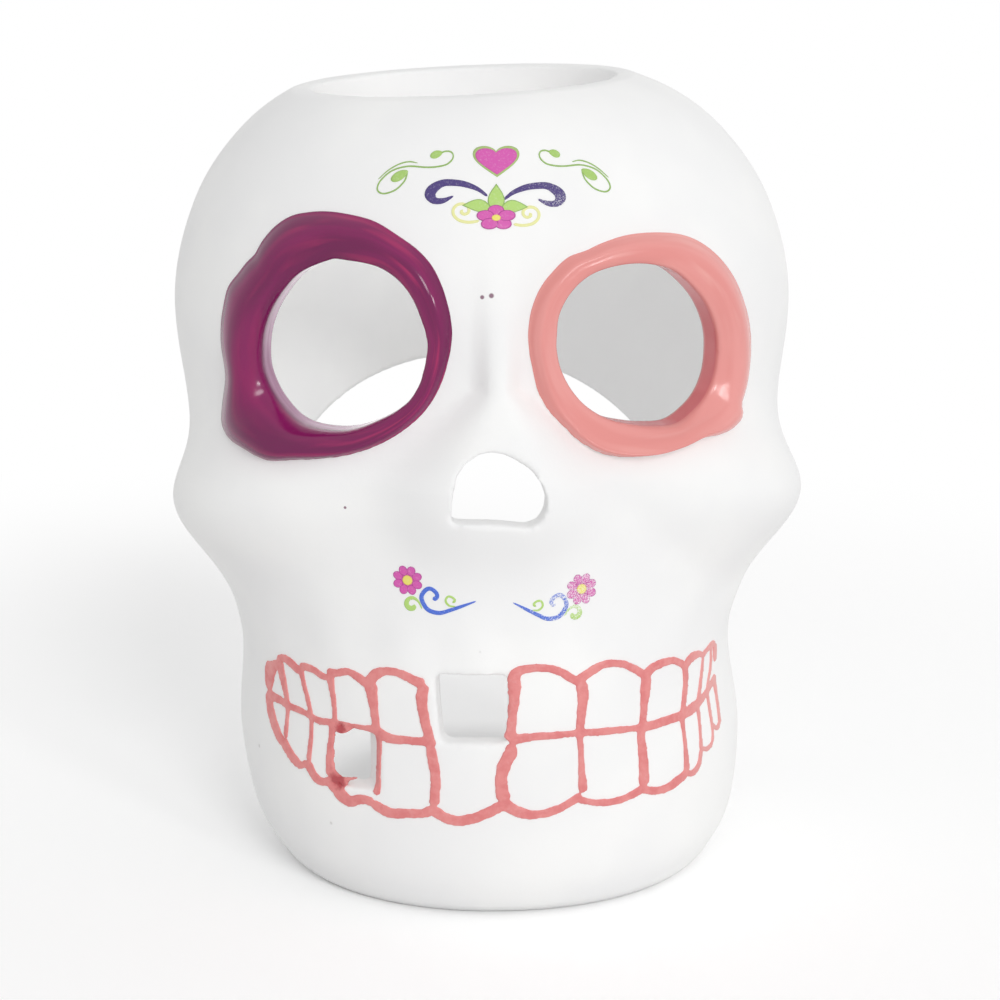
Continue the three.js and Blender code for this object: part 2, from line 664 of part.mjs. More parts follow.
// The origin is under the middle of the whole, on the table
const middle = box.getCenter(new THREE.Vector3());
const group = new THREE.Group();
for (const mesh of built) {
  mesh.geometry.translate(-middle.x, -middle.y, -box.min.z);
  mesh.geometry.computeVertexNormals();
  group.add(mesh);
}

export default group;
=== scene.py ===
import math
import bmesh
import bpy
import numpy as np
from mathutils import Matrix, Vector
from mathutils.bvhtree import BVHTree


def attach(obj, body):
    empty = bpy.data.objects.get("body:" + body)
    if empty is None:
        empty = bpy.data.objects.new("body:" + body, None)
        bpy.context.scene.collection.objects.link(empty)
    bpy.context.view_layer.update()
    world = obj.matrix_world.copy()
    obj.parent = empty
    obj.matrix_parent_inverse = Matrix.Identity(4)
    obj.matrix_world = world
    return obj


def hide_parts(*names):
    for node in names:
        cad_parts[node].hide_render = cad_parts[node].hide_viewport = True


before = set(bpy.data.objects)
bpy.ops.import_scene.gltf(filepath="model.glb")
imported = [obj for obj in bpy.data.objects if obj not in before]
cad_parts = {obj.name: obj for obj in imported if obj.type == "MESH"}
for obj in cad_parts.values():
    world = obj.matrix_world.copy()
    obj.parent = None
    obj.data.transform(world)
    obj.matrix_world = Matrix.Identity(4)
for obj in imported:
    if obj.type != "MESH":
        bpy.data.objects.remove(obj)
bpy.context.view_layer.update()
scene = bpy.context.scene
scene.view_settings.view_transform = "Standard"
print("frame loaded:", len(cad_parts), "nodes")

mm = 0.001
backShift = 0.871  # mm, the casting's own axis lies this far behind the middle of its box


def toFrame(points):
    return (np.asarray(points, float) - (0, backShift, 0)) * mm


def tone(red, green, blue):
    share = [c / 255 for c in (red, green, blue)]
    return tuple(c / 12.92 if c <= 0.04045 else ((c + 0.055) / 1.055) ** 2.4 for c in share) + (1,)


# the casting, station by station
skull = {
    # height, half width, reach to the face, reach to the back
    "stations": [
        (0, 44, 45, 44), (3, 46.5, 48.5, 47), (11, 50.6, 52.5, 50.5), (27, 52.6, 55, 54),
        (45, 51, 56.5, 57), (60, 53, 56, 60), (77, 56.2, 55, 63), (97, 61, 54.5, 65),
        (117, 63, 56, 64), (135, 58.8, 53, 59), (148, 50.6, 46, 50), (157, 39.6, 37.5, 39),
        (163.5, 23, 22.5, 23),
    ],
    "roundness": 2.1,
    "wall": 5,
    "crownWall": 9,
    "domePlace": 10 / 12,
    "jawForward": (6.5, 85),
    "jawSideways": (2.2, 50),
    "cheek": {"height": 79.5, "angle": 62, "relief": 11.2, "spread": 24.5, "above": 8.5, "below": 10, "slope": 13},
    "nose": {"x": -1.2, "tip": 86, "relief": 8.75, "above": 18, "below": 9, "top": 107,
             "narrow": 2.5, "flare": 0.62, "spread": 13.5},
    "crease": {"start": (11, 93.5), "end": (46, 61), "depth": 0.6, "soft": 2.6},  # below the right cheekbone
    "roots": {"x": 8, "pitch": 13.6, "relief": 0.3, "height": 56, "soft": 4},  # tooth roots under the skin
    "brow": {"x": 27, "height": 124, "relief": 1.8, "spread": 15, "soft": 6.5},
    "columns": 240, "rows": 144,
    "hollowColumns": 160, "hollowRows": 96, "hollowFoot": -8,
    "voxel": 0.65,
    "smoothing": 5,
    "kept": 0.29,  # share of the faces kept after softening
}


def bell(offset, soft):
    return np.exp(-0.5 * (offset / soft) ** 2)


def smoothStep(low, high, value):
    share = np.clip((value - low) / (high - low), 0, 1)
    return share * share * (3 - 2 * share)


# the curve from b to c, with a before them and d after
def curve(a, b, c, d, f):
    return 0.5 * (2 * b + (c - a) * f + (2 * a - 5 * b + 4 * c - d) * f ** 2 + (3 * b - a - 3 * c + d) * f ** 3)


def stationAt(place):
    knots = np.array(skull["stations"], float)
    knots = np.vstack([2 * knots[0] - knots[1], knots, 2 * knots[-1] - knots[-2]])
    run = np.clip(place, 0, 1) * (len(knots) - 3)
    i = np.minimum(run.astype(int), len(knots) - 4)
    f = (run - i)[..., None]
    return curve(knots[i], knots[i + 1], knots[i + 2], knots[i + 3], f)


def reliefAt(x, angle, z):
    cheek, nose, brow = skull["cheek"], skull["nose"], skull["brow"]
    turn = np.abs(angle)
    ridge = cheek["height"] + (math.radians(cheek["angle"]) - turn) * cheek["slope"]
    soft = np.where(z > ridge, cheek["above"], cheek["below"])
    spread = math.radians(cheek["spread"])
    rise = cheek["relief"] * bell(turn - math.radians(cheek["angle"]), spread) * bell(z - ridge, soft)
    front = turn < math.pi / 2
    noseSoft = np.where(z > nose["tip"], nose["above"], nose["below"])
    noseWidth = np.clip(nose["narrow"] + nose["flare"] * (nose["top"] - z), nose["narrow"], nose["spread"])
    bridge = nose["relief"] * bell(z - nose["tip"], noseSoft) * np.exp(-0.5 * np.abs((x - nose["x"]) / noseWidth) ** 3)
    crease = skull["crease"]
    first = np.array(crease["start"])
    way = np.array(crease["end"]) - first
    along = np.clip(((x - first[0]) * way[0] + (z - first[1]) * way[1]) / np.dot(way, way), 0, 1)
    away = np.hypot(x - first[0] - along * way[0], z - first[1] - along * way[1])
    fold = -crease["depth"] * bell(away, crease["soft"])
    roots = skull["roots"]
    wave = np.cos(math.tau * (x - roots["x"]) / roots["pitch"])
    ridges = roots["relief"] * wave * bell(z - roots["height"], roots["soft"])
    brows = brow["relief"] * bell(z - brow["height"], brow["soft"]) * bell(np.abs(x) - brow["x"], brow["spread"])
    return rise + np.where(front, bridge + brows + fold + ridges, 0)


def skinAt(angle, place):
    row = stationAt(place)
    z, side, face, back = (row[..., k] for k in range(4))
    reach = np.where(np.cos(angle) > 0, face, back)
    power = skull["roundness"]
    plain = ((np.abs(np.sin(angle)) / side) ** power + (np.abs(np.cos(angle)) / reach) ** power) ** (-1 / power)
    radius = plain + reliefAt(plain * np.sin(angle), angle, z)
    forward, forwardTop = skull["jawForward"]
    sideways, sidewaysTop = skull["jawSideways"]
    shiftX = sideways * np.maximum(0, 1 - z / sidewaysTop)
    shiftY = -forward * np.maximum(0, 1 - z / forwardTop)
    return np.stack([shiftX + radius * np.sin(angle), shiftY - radius * np.cos(angle), z], -1)


def raisedAt(angle, place, lift):
    step = 0.004
    across = skinAt(angle + step, place) - skinAt(angle - step, place)
    rise = skinAt(angle, np.minimum(1, place + step)) - skinAt(angle, np.maximum(0, place - step))
    normal = np.cross(across, rise)
    normal /= np.linalg.norm(normal, axis=-1, keepdims=True)
    return skinAt(angle, place) + normal * np.asarray(lift, float)[..., None]


def newObject(name, bm):
    mesh = bpy.data.meshes.new(name)
    bm.to_mesh(mesh)
    bm.free()
    obj = bpy.data.objects.new(name, mesh)
    scene.collection.objects.link(obj)
    return obj


def newSolid(name, bm):
    bmesh.ops.recalc_face_normals(bm, faces=bm.faces[:])
    return newObject(name, bm)


def vertsOf(result):
    return [g for g in result["geom"] if isinstance(g, bmesh.types.BMVert)]


def treeOf(obj):
    return BVHTree.FromObject(obj, bpy.context.evaluated_depsgraph_get())


# an upright drum, cut into rows and pushed onto the skin
def castBody(name, columns, rows, liftAt, floor):
    bm = bmesh.new()
    bmesh.ops.create_cone(bm, cap_ends=True, segments=columns, radius1=1, radius2=1, depth=1)
    upright = [e for e in bm.edges if abs(e.verts[0].co.z - e.verts[1].co.z) > 0.5]
    bmesh.ops.subdivide_edges(bm, edges=upright, cuts=rows - 1)
    drum = np.array([v.co for v in bm.verts])
    angle = np.arctan2(drum[:, 0], -drum[:, 1])
    place = np.clip(drum[:, 2] + 0.5, 0, 1)
    moved = raisedAt(angle, place, liftAt(place))
    moved[place < 1e-4, 2] = floor
    for v, co in zip(bm.verts, toFrame(moved)):
        v.co = co
    return newSolid(name, bm)


def noLift(place):
    return place * 0


def wallLift(place):
    return -(skull["wall"] + (skull["crownWall"] - skull["wall"]) * smoothStep(skull["domePlace"], 1, place))


plainSkin = castBody("plainSkin", skull["columns"], skull["rows"], noLift, 0)
hollow = castBody("hollow", skull["hollowColumns"], skull["hollowRows"], wallLift, skull["hollowFoot"])
skinTree = treeOf(plainSkin)
hollowTree = treeOf(hollow)
print("casting drawn")

# eye sockets: place on the face, way the bore points, then lines round the bore centre and, by degrees
# round it, the height of the lip's crest, its place from the outline to the bore, and the height at the bore
sockets = {
    "left": {
        "angle": -32, "height": 113.8, "aim": -24,
        "bore": [(17.7, 4.5), (14.6, 11.7), (8.9, 16), (1, 17.2), (-2.3, 16.8), (-8.5, 13.8), (-13.6, 7.9),
                 (-16.4, 2.5), (-17.5, -2.9), (-17, -7.2), (-14.1, -11.7), (-8.7, -15.3), (-1.4, -16.1), (4.7, -15),
                 (12.1, -11.2), (15.9, -6.8), (17.8, -0.3)],
        "outline": [(22, 3), (21.9, 6.1), (21.2, 9.5), (20, 12.8), (18, 16.2), (15.1, 19), (11.2, 21.4),
                    (6.5, 23.7), (1.9, 24.7), (-3.5, 25.1), (-8.2, 24.6), (-11.7, 23.6), (-14.9, 21.4), (-17.2, 18.7),
                    (-18.6, 16.2), (-20.3, 14.7), (-22.4, 12.3), (-24.9, 9.5), (-26, 6.2), (-26.9, 2.2),
                    (-27.2, -2.3), (-26.7, -6.1), (-26.6, -8.9), (-27.3, -11.8), (-27.9, -14.7), (-27.8, -17.7),
                    (-25.6, -19.7), (-22, -20.7), (-19.2, -21.3), (-15.7, -22), (-12.4, -22.1), (-8.7, -21.5),
                    (-3.6, -20.9), (0.8, -20.2), (5.2, -19), (9.3, -17.2), (13.4, -14.4), (17, -10.7),
                    (19.6, -6.1), (21.2, -1.3)],
        "dish": 1.25,
        "crest": [(0, 2, 0.45, 1), (60, 2.3, 0.45, 1), (120, 2.4, 0.45, 0.6), (160, 2.4, 0.53, 0.2),
                  (180, 3, 0.56, 0.15), (200, 4, 0.56, 0.1), (222, 4.9, 0.55, 0.1), (242, 4, 0.48, 0.2),
                  (268, 2.5, 0.4, 0.6), (300, 2, 0.45, 1)],
    },
    "right": {
        "angle": 27.5, "height": 113.2, "aim": 22,
        "bore": [(18, -2.1), (17, 2.4), (14.1, 7.7), (10.2, 12), (6.1, 15.1), (1.4, 16.5), (-3.3, 16.8),
                 (-8.4, 16.1), (-12.3, 14.5), (-15.5, 11.6), (-17.5, 7.8), (-17.9, 3.6), (-17.8, 1), (-16.8, -2.8),
                 (-14.6, -6.9), (-11.3, -10.6), (-6.9, -13.3), (-1.8, -14.7), (2.3, -15.3), (7.3, -15.4),
                 (11.5, -13.8), (15.4, -11.1), (17.7, -7.1)],
        "outline": [(27.7, -3.9), (26.7, 1.4), (24.6, 6.6), (21.8, 11.6), (18.2, 15.8), (13.9, 19), (8.9, 20.9),
                    (2.7, 21.6), (-2.7, 21.4), (-7.6, 20.3), (-10.9, 19.1), (-14.3, 18.1), (-17.4, 15.7),
                    (-20, 12.7), (-21.7, 9), (-22.4, 4.9), (-22.2, 1.2), (-21.4, -2.5), (-20.3, -6.7),
                    (-18.2, -10.8), (-15.5, -13.9), (-13, -16.5), (-9.8, -18.6), (-5.8, -19.8), (-1.9, -20.1),
                    (2.7, -20), (7.7, -19.2), (12.6, -18.2), (17.6, -18.2), (21.4, -17.8), (24.8, -16.6),
                    (25.4, -15.5), (25, -14), (26.4, -12), (27.6, -8.9)],
        "dish": 0.75,
        "crest": [(0, 2.4, 0.5, 0.75), (45, 2.1, 0.5, 0.95), (90, 2.2, 0.45, 1.2), (180, 2, 0.4, 1.3),
                  (225, 3, 0.14, 1.1), (268, 3.1, 0.13, 0.9), (300, 3.1, 0.3, 0.7), (330, 3.2, 0.42, 0.55)],
    },
    "around": 192,
    "castUnder": 0.45,  # the cast lip stays this far under its paint
    "lipRoot": 2,  # and is set this deep into the skin
    "lipOver": (0.8, 2.5),  # its crest and its end run past the bore's wall, which is cut later
    "boreSides": 150,
    "boreReach": 30,
    "paintInBore": 0.35,
    "paint": 0.3,
    "boreEdge": 1.1,  # radius of the edge that turns into the bore
}


def placeAt(z):
    low, high = 0, 1.0
    for _ in range(40):
        middle = (low + high) / 2
        if stationAt(np.array(middle))[0] < z:
            low = middle
        else:
            high = middle
    return (low + high) / 2


def closedLine(points, count):
    knots = np.array(points, float)
    size = len(knots)
    run = np.arange(count * 8) / (count * 8) * size
    i = run.astype(int)
    f = (run - i)[:, None]
    dense = curve(*(knots[(i + k) % size] for k in (-1, 0, 1, 2)), f)
    turn = np.unwrap(np.arctan2(dense[:, 1], dense[:, 0]))
    reach = np.hypot(dense[:, 0], dense[:, 1])
    order = np.argsort(turn % (math.tau))
    around = np.arange(count) / count * math.tau
    return around, np.interp(around, (turn % (math.tau))[order], reach[order], period=math.tau)


def socketFrame(eye):
    aim = math.radians(eye["aim"])
    centre = skinAt(np.array(math.radians(eye["angle"])), np.array(placeAt(eye["height"])))
    across = np.array((math.cos(aim), math.sin(aim), 0))
    out = np.array((math.sin(aim), -math.cos(aim), 0))
    return centre, across, out


# a ring of points round a socket, dropped along the bore onto a surface
def ringOn(tree, eye, reach):
    centre, across, out = socketFrame(eye)
    turns = np.arange(len(reach)) / len(reach) * math.tau
    points = []
    for turn, far in zip(turns, reach):
        start = centre + across * far * math.cos(turn) + np.array((0, 0, far * math.sin(turn))) + out * 60
        hit = tree.ray_cast(Vector(toFrame(start)), Vector(-out))[0]
        points.append(np.array(hit) / mm + (0, backShift, 0))
    return np.array(points)


def lipHeight(eye, share, count):
    turns = np.arange(count) / count * 360
    table = np.array(eye["crest"], float)
    crest, place, atBore = (np.interp(turns, table[:, 0], table[:, k], period=360) for k in (1, 2, 3))
    rising = crest * np.sin(np.clip(share / place, 0, 1) * math.pi / 2) ** 0.7
    fall = np.clip((share - place) / (1 - place), 0, 1)
    falling = atBore + (crest - atBore) * (0.5 + 0.5 * np.cos(math.pi * fall ** eye["dish"]))
    return np.where(share < place, rising, falling)


def ringEdges(bm, ring):
    return [bm.edges.get((a, b)) for a, b in zip(ring, ring[1:] + ring[:1])]


# extrudes a closed ring of vertices and returns the new ring in the same order
def nextRing(bm, ring):
    made = set(vertsOf(bmesh.ops.extrude_edge_only(bm, edges=ringEdges(bm, ring))))
    return [next(e.other_vert(v) for e in v.link_edges if e.other_vert(v) in made) for v in ring]


# a skin of rings, each grown from the one before
def ringSkin(bm, rings):
    grown = [bmesh.ops.create_circle(bm, segments=len(rings[0]), radius=1)["verts"]]
    for k, points in enumerate(rings):
        if k:
            grown.append(nextRing(bm, grown[-1]))
        for vert, co in zip(grown[-1], points):
            vert.co = co
    return grown


bandShares = [0, 0.012, 0.03, 0.055, 0.09, 0.14, 0.2, 0.28, 0.37, 0.47, 0.57, 0.67, 0.76, 0.84, 0.91, 0.96, 1]


# cast lip under the paint: a closed ring from the outline to inside the bore
def socketLip(name, eye):
    count = sockets["around"]
    out = socketFrame(eye)[2]
    edge = closedLine(eye["outline"], count)[1] - sockets["castUnder"]
    bore = closedLine(eye["bore"], count)[1]
    crestOver, endOver = sockets["lipOver"]
    rings = [ringOn(skinTree, eye, edge) - out * sockets["lipRoot"]]
    for share in bandShares:
        lift = lipHeight(eye, share, count) - sockets["castUnder"]
        rings.append(ringOn(skinTree, eye, edge + (bore - crestOver - edge) * share) + out * lift[:, None])
    inner = ringOn(skinTree, eye, bore - endOver)
    rings.append(inner + out * lift[:, None])
    rings.append(inner - out * sockets["lipRoot"])
    bm = bmesh.new()
    skin = ringSkin(bm, toFrame(rings))
    bmesh.ops.bridge_loops(bm, edges=ringEdges(bm, skin[0]) + ringEdges(bm, skin[-1]))
    return newSolid(name, bm)


# a flat outline pushed straight through
def pushedThrough(name, outline, push):
    bm = bmesh.new()
    bmesh.ops.create_circle(bm, cap_ends=True, segments=len(outline), radius=1)
    for vert, co in zip(bm.verts, outline):
        vert.co = co
    bmesh.ops.translate(bm, vec=push, verts=vertsOf(bmesh.ops.extrude_face_region(bm, geom=bm.faces[:])))
    return newSolid(name, bm)


def socketBore(name, eye):
    centre, across, out = socketFrame(eye)
    line = [centre + across * far * math.cos(turn) + np.array((0, 0, far * math.sin(turn))) - out * sockets["boreReach"]
            for turn, far in zip(*closedLine(eye["bore"], sockets["boreSides"]))]
    return pushedThrough(name, toFrame(line), Vector(out) * 2 * sockets["boreReach"] * mm)


openings = {
    "nose": [(-10.4, 82.6), (-10.2, 87), (-9.2, 91.9), (-7.6, 94.1), (-5.3, 95.7), (-3.1, 96.2), (-0.8, 95.9),
             (1.5, 94.8), (4.6, 92.7), (6.5, 90.1), (7.5, 87.1), (7.2, 84.7), (6.1, 82.5), (4, 81.7), (1.7, 82),
             (-1.3, 82.5), (-5, 82.6)],
    "noseFront": -85, "noseDepth": 60, "archFront": 12, "archDepth": 90,
    "archX": 1, "archTop": 91, "archWidth": 88, "archRise": 30, "archFoot": 72, "archBelow": -10,
    "rim": 159.4, "rimLean": 2.6, "rimBlock": (0.2, 0.2, 0.04), "crownX": -3.5, "crown": (61, 56), "crownDepth": 0.06,
    "mouthWrap": 58, "gapReach": 16,
    "frontGap": [(-12.2, 38), (0.7, 38.2), (0.6, 51.4), (-13.4, 51.5)], "frontGapHeading": -16,
    "lowerGap": [(-35, 26.5), (-24.9, 27.1), (-24.9, 38.5), (-34.5, 39.1)], "lowerGapHeading": 17,
}


def archOutline():
    x, half, foot = openings["archX"], openings["archWidth"] / 2, openings["archFoot"] / 2
    spring = openings["archTop"] - openings["archRise"]
    leg = []
    for k in range(12):
        f = k / 12
        out = foot * (1 - f) ** 2 + half * (2 * f * (1 - f) + f * f)
        leg.append((out, openings["archBelow"] * (1 - f) ** 2 + spring * (f * (1 - f) + f * f)))
    points = [(x + dx, z) for dx, z in leg]
    for turn in (math.pi * k / 48 for k in range(49)):
        points.append((x + half * math.cos(turn), spring + openings["archRise"] * math.sin(turn)))
    return points + [(x - dx, z) for dx, z in reversed(leg)]


# an outline in (x, z), cut through along y
def straightCutter(name, outline, front, depth):
    return pushedThrough(name, toFrame([(x, front, z) for x, z in outline]), (0, depth * mm, 0))


# a gap in the teeth, cut straight through the wall with the knife held at a slant
def gapCutter(name):
    turn = math.radians(openings[name + "Heading"])
    way = Vector((math.sin(turn), -math.cos(turn), 0))
    wrap, reach = openings["mouthWrap"], openings["gapReach"]
    face = toFrame([(wrap * math.sin(s / wrap), -wrap * math.cos(s / wrap), z) for s, z in openings[name]])
    return pushedThrough(name + "Cutter", [Vector(p) - way * reach * mm for p in face], way * 2 * reach * mm)


def rimCutter():
    bm = bmesh.new()
    bmesh.ops.create_cube(bm, size=1)
    lean = Matrix.Rotation(-math.radians(openings["rimLean"]), 4, "Y")
    wide, deep, tall = openings["rimBlock"]
    place = Matrix.Translation((0, 0, openings["rim"] * mm)) @ lean @ Matrix.Translation((0, 0, tall / 2))
    bmesh.ops.transform(bm, matrix=place @ Matrix.Diagonal((wide, deep, tall, 1)), verts=bm.verts[:])
    return newObject("rimCutter", bm)


def crownCutter():
    bm = bmesh.new()
    bmesh.ops.create_cone(bm, cap_ends=True, segments=128, radius1=1, radius2=1, depth=openings["crownDepth"])
    wide, deep = openings["crown"]
    size = Matrix.Diagonal((wide / 2 * mm, deep / 2 * mm, 1, 1))
    place = Matrix.Translation(Vector(toFrame((openings["crownX"], 0, openings["rim"]))))
    bmesh.ops.transform(bm, matrix=place @ size, verts=bm.verts[:])
    return newObject("crownCutter", bm)


def filmed(name, bm, thickness):
    piece = newObject(name, bm)
    film = piece.modifiers.new("film", "SOLIDIFY")
    film.thickness = thickness * mm
    film.offset = -1
    return piece


def evenSkin(obj, values):
    remesh = obj.modifiers.new("evenSkin", "REMESH")
    remesh.mode = "VOXEL"
    remesh.voxel_size = values["voxel"] * mm
    soften = obj.modifiers.new("soften", "SMOOTH")
    soften.factor = 0.5
    soften.iterations = values["smoothing"]


def finished(obj):
    made = bpy.data.meshes.new_from_object(obj.evaluated_get(bpy.context.evaluated_depsgraph_get()))
    obj.modifiers.clear()
    obj.data = made
    for face in made.polygons:
        face.use_smooth = True
    return obj


skullShell = bpy.data.objects.new("skullShell", plainSkin.data.copy())
scene.collection.objects.link(skullShell)
tools = [("UNION", socketLip(side + "Lip", sockets[side])) for side in ("left", "right")]
# the bores come last, because their walls run along the lips and leave the finest slivers
tools += [("DIFFERENCE", cutter) for cutter in (
    hollow, rimCutter(), crownCutter(),
    straightCutter("archCutter", archOutline(), openings["archFront"], openings["archDepth"]),
    gapCutter("frontGap"), gapCutter("lowerGap"),
    straightCutter("noseCutter", openings["nose"], openings["noseFront"], openings["noseDepth"]),
    socketBore("leftBore", sockets["left"]), socketBore("rightBore", sockets["right"]))]
for how, tool in tools:
    cut = skullShell.modifiers.new(tool.name, "BOOLEAN")
    cut.operation = how
    cut.solver = "EXACT"
    cut.object = tool
evenSkin(skullShell, skull)
thin = skullShell.modifiers.new("thin", "DECIMATE")
thin.ratio = skull["kept"]
finished(skullShell)
shellTree = treeOf(skullShell)
for _, tool in tools:
    bpy.data.objects.remove(tool)
bpy.data.objects.remove(plainSkin)
print("shell cut and softened:", len(skullShell.data.polygons), "faces")


# node helpers
def put(tree, kind, inputs=None, **settings):
    made = tree.nodes.new("ShaderNode" + kind)
    for key, value in settings.items():
        setattr(made, key, value)
    for key, value in (inputs or {}).items():
        if isinstance(value, bpy.types.NodeSocket):
            tree.links.new(value, made.inputs[key])
        else:
            made.inputs[key].default_value = value
    return made


def startFinish(name):
    material = bpy.data.materials.new(name)
    material.use_nodes = True
    return material, material.node_tree


def endFinish(tree, ior, colour, rough, height, strength, deep):
    surface = tree.nodes["Principled BSDF"]
    surface.inputs["IOR"].default_value = ior
    bump = put(tree, "Bump", {"Height": height, "Strength": strength, "Distance": deep * mm})
    for key, value in (("Base Color", colour), ("Roughness", rough), ("Normal", bump.outputs["Normal"])):
        tree.links.new(value, surface.inputs[key])


def objectPlace(tree):
    return put(tree, "TexCoord").outputs["Object"]


def mixed(tree, factor, first, second):
    return put(tree, "Mix", {0: factor, 6: first, 7: second}, data_type="RGBA").outputs[2]


def spread(tree, value, low, high, toLow=0, toHigh=1):
    inputs = {"Value": value, "From Min": low, "From Max": high, "To Min": toLow, "To Max": toHigh}
    return put(tree, "MapRange", inputs, interpolation_type="SMOOTHSTEP").outputs["Result"]


def grain(tree, where, scale, detail=2, rough=0.5, distortion=0):
    inputs = {"Vector": where, "Scale": scale, "Detail": detail, "Roughness": rough, "Distortion": distortion}
    return put(tree, "TexNoise", inputs).outputs["Fac"]


def sums(tree, first, second, how="ADD"):
    return put(tree, "Math", {0: first, 1: second}, operation=how).outputs["Value"]


def times(tree, first, second):
    return sums(tree, first, second, "MULTIPLY")


def awayFrom(tree, where, spot):
    return put(tree, "VectorMath", {0: where, 1: spot}, operation="DISTANCE").outputs["Value"]


# rays that see the white background
def seenRays(tree):
    path = put(tree, "LightPath").outputs
    mirrored = sums(tree, path["Is Camera Ray"], path["Is Glossy Ray"], "MAXIMUM")
    return sums(tree, mirrored, path["Is Transmission Ray"], "MAXIMUM")


def dress(piece, material, slot, *nodes):
    piece.data.materials.clear()
    piece.data.materials.append(material)
    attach(piece, "root")
    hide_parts(*nodes)


# unglazed white earthenware: fine tooth, faint casting clouds, a few specks
bisque = {"light": tone(250, 250, 249), "dark": tone(245, 245, 245), "speck": tone(206, 203, 202), "rough": 0.78,
          "splashes": [(-4.1, 124.5, 0.42), (-2.4, 124.8, 0.5), (-30, 83.9, 0.3)],
          "splash": tone(118, 62, 92)}


def bisqueFinish():
    material, tree = startFinish("bisque")
    where = objectPlace(tree)
    clouds = grain(tree, where, 32, 3)
    tooth = grain(tree, where, 1900, 2, 0.6)
    smearAndShade = grain(tree, where, 260, 3, 0.55)
    colour = mixed(tree, spread(tree, clouds, 0.35, 0.7), bisque["dark"], bisque["light"])
    pits = put(tree, "TexVoronoi", {"Vector": where, "Scale": 210, "Randomness": 1}, feature="F1")
    chosen = put(tree, "SeparateColor", {"Color": pits.outputs["Color"]}).outputs["Red"]
    speck = times(tree, spread(tree, pits.outputs["Distance"], 0.05, 0.11, 1, 0), spread(tree, chosen, 0.972, 0.976))
    colour = mixed(tree, times(tree, speck, 0.55), colour, bisque["speck"])
    for x, z, size in bisque["splashes"]:
        spot = shellTree.ray_cast(Vector((x * mm, -0.2, z * mm)), Vector((0, 1, 0)))[0]
        blot = spread(tree, awayFrom(tree, where, spot), size * 0.6 * mm, size * 1.2 * mm, 0.85, 0)
        colour = mixed(tree, blot, colour, bisque["splash"])
    rough = spread(tree, smearAndShade, 0.3, 0.7, bisque["rough"] - 0.08, bisque["rough"] + 0.08)
    height = sums(tree, times(tree, tooth, 0.35), times(tree, smearAndShade, 0.65))
    height = sums(tree, height, times(tree, speck, -1.5))
    endFinish(tree, 1.45, colour, rough, height, 0.35, 0.12)
    return material


dress(skullShell, bisqueFinish(), "bisque", "skull_shell")
print("shell dressed")

# brushed lacquer on the sockets; the darker colour inside each bore is painted shade, and the lighter streaks, laid
# more thickly towards each ring's right side, are partly brush streaks and partly painted sheen
lacquers = {
    "left": {
        "node": "left_socket_lacquer", "slot": "plum_lacquer", "deep": tone(112, 12, 78), "body": tone(134, 20, 90),
        "streakAndSheen": tone(188, 44, 102), "thin": tone(196, 152, 182), "inside": tone(110, 16, 82), "wall": (0.1, 0.5),
        "rough": 0.16, "streaks": 0.45, "relief": 0.06,
    },
    "right": {
        "node": "right_socket_lacquer", "slot": "coral_lacquer", "deep": tone(230, 147, 142), "body": tone(235, 157, 152),
        "streakAndSheen": tone(243, 184, 177), "thin": tone(232, 190, 186), "inside": tone(212, 102, 106), "wall": (0.82, 1),
        "rough": 0.2, "streaks": 0.25, "relief": 0.04,
    },
    "brushLength": 2.4,
}


def socketPaint(name, eye):
    count = sockets["around"]
    out = socketFrame(eye)[2]
    edge = closedLine(eye["outline"], count)[1]
    bore = closedLine(eye["bore"], count)[1] - sockets["paintInBore"]
    rounding = sockets["boreEdge"]
    rings = [(ringOn(skinTree, eye, edge + 0.1) - out * 0.5, 0)]
    for share in bandShares:
        lift = lipHeight(eye, share, count)
        reach = edge + (bore + rounding - edge) * share
        rings.append((ringOn(skinTree, eye, reach) + out * lift[:, None], 0))
    for k in range(1, 5):
        turn = k / 4 * math.pi / 2
        reach = bore + rounding * (1 - math.sin(turn))
        drop = lift - rounding * (1 - math.cos(turn))
        rings.append((ringOn(skinTree, eye, reach) + out * drop[:, None], k / 40))
    front = rings[-1][0]
    back = ringOn(hollowTree, eye, bore)
    for share in (0.12, 0.3, 0.5, 0.7, 0.86, 1):
        rings.append((front + (back - front) * share, 0.1 + 0.9 * share))
    bm = bmesh.new()
    brush = bm.verts.layers.float_vector.new("brush")
    depth = bm.verts.layers.float.new("depth")
    skin = ringSkin(bm, toFrame([points for points, _ in rings]))
    run = 0.0
    for k, (points, deep) in enumerate(rings):
        if k:
            run += float(np.linalg.norm(points - rings[k - 1][0], axis=1).mean())
        for i, vert in enumerate(skin[k]):
            turn = i / count * math.tau
            vert[brush] = (lacquers["brushLength"] * math.cos(turn), lacquers["brushLength"] * math.sin(turn), run)
            vert[depth] = deep
    raised = [vert for ring in skin[1:] for vert in ring]
    for firm in (1, 0.7):
        for vert in raised:
            below, normal, _, _ = shellTree.find_nearest(vert.co)
            if (vert.co - below).dot(normal) < sockets["paint"] * firm * mm:
                vert.co = below + normal * sockets["paint"] * firm * mm
        if firm == 1:
            bmesh.ops.smooth_vert(bm, verts=raised, factor=0.4, use_axis_x=True, use_axis_y=True, use_axis_z=True)
    bmesh.ops.recalc_face_normals(bm, faces=bm.faces[:])
    middle = bm.faces[len(bm.faces) // 3]
    if middle.normal.dot(Vector(out)) < 0:
        bmesh.ops.reverse_faces(bm, faces=bm.faces[:])
    return finished(filmed(name, bm, sockets["paint"]))


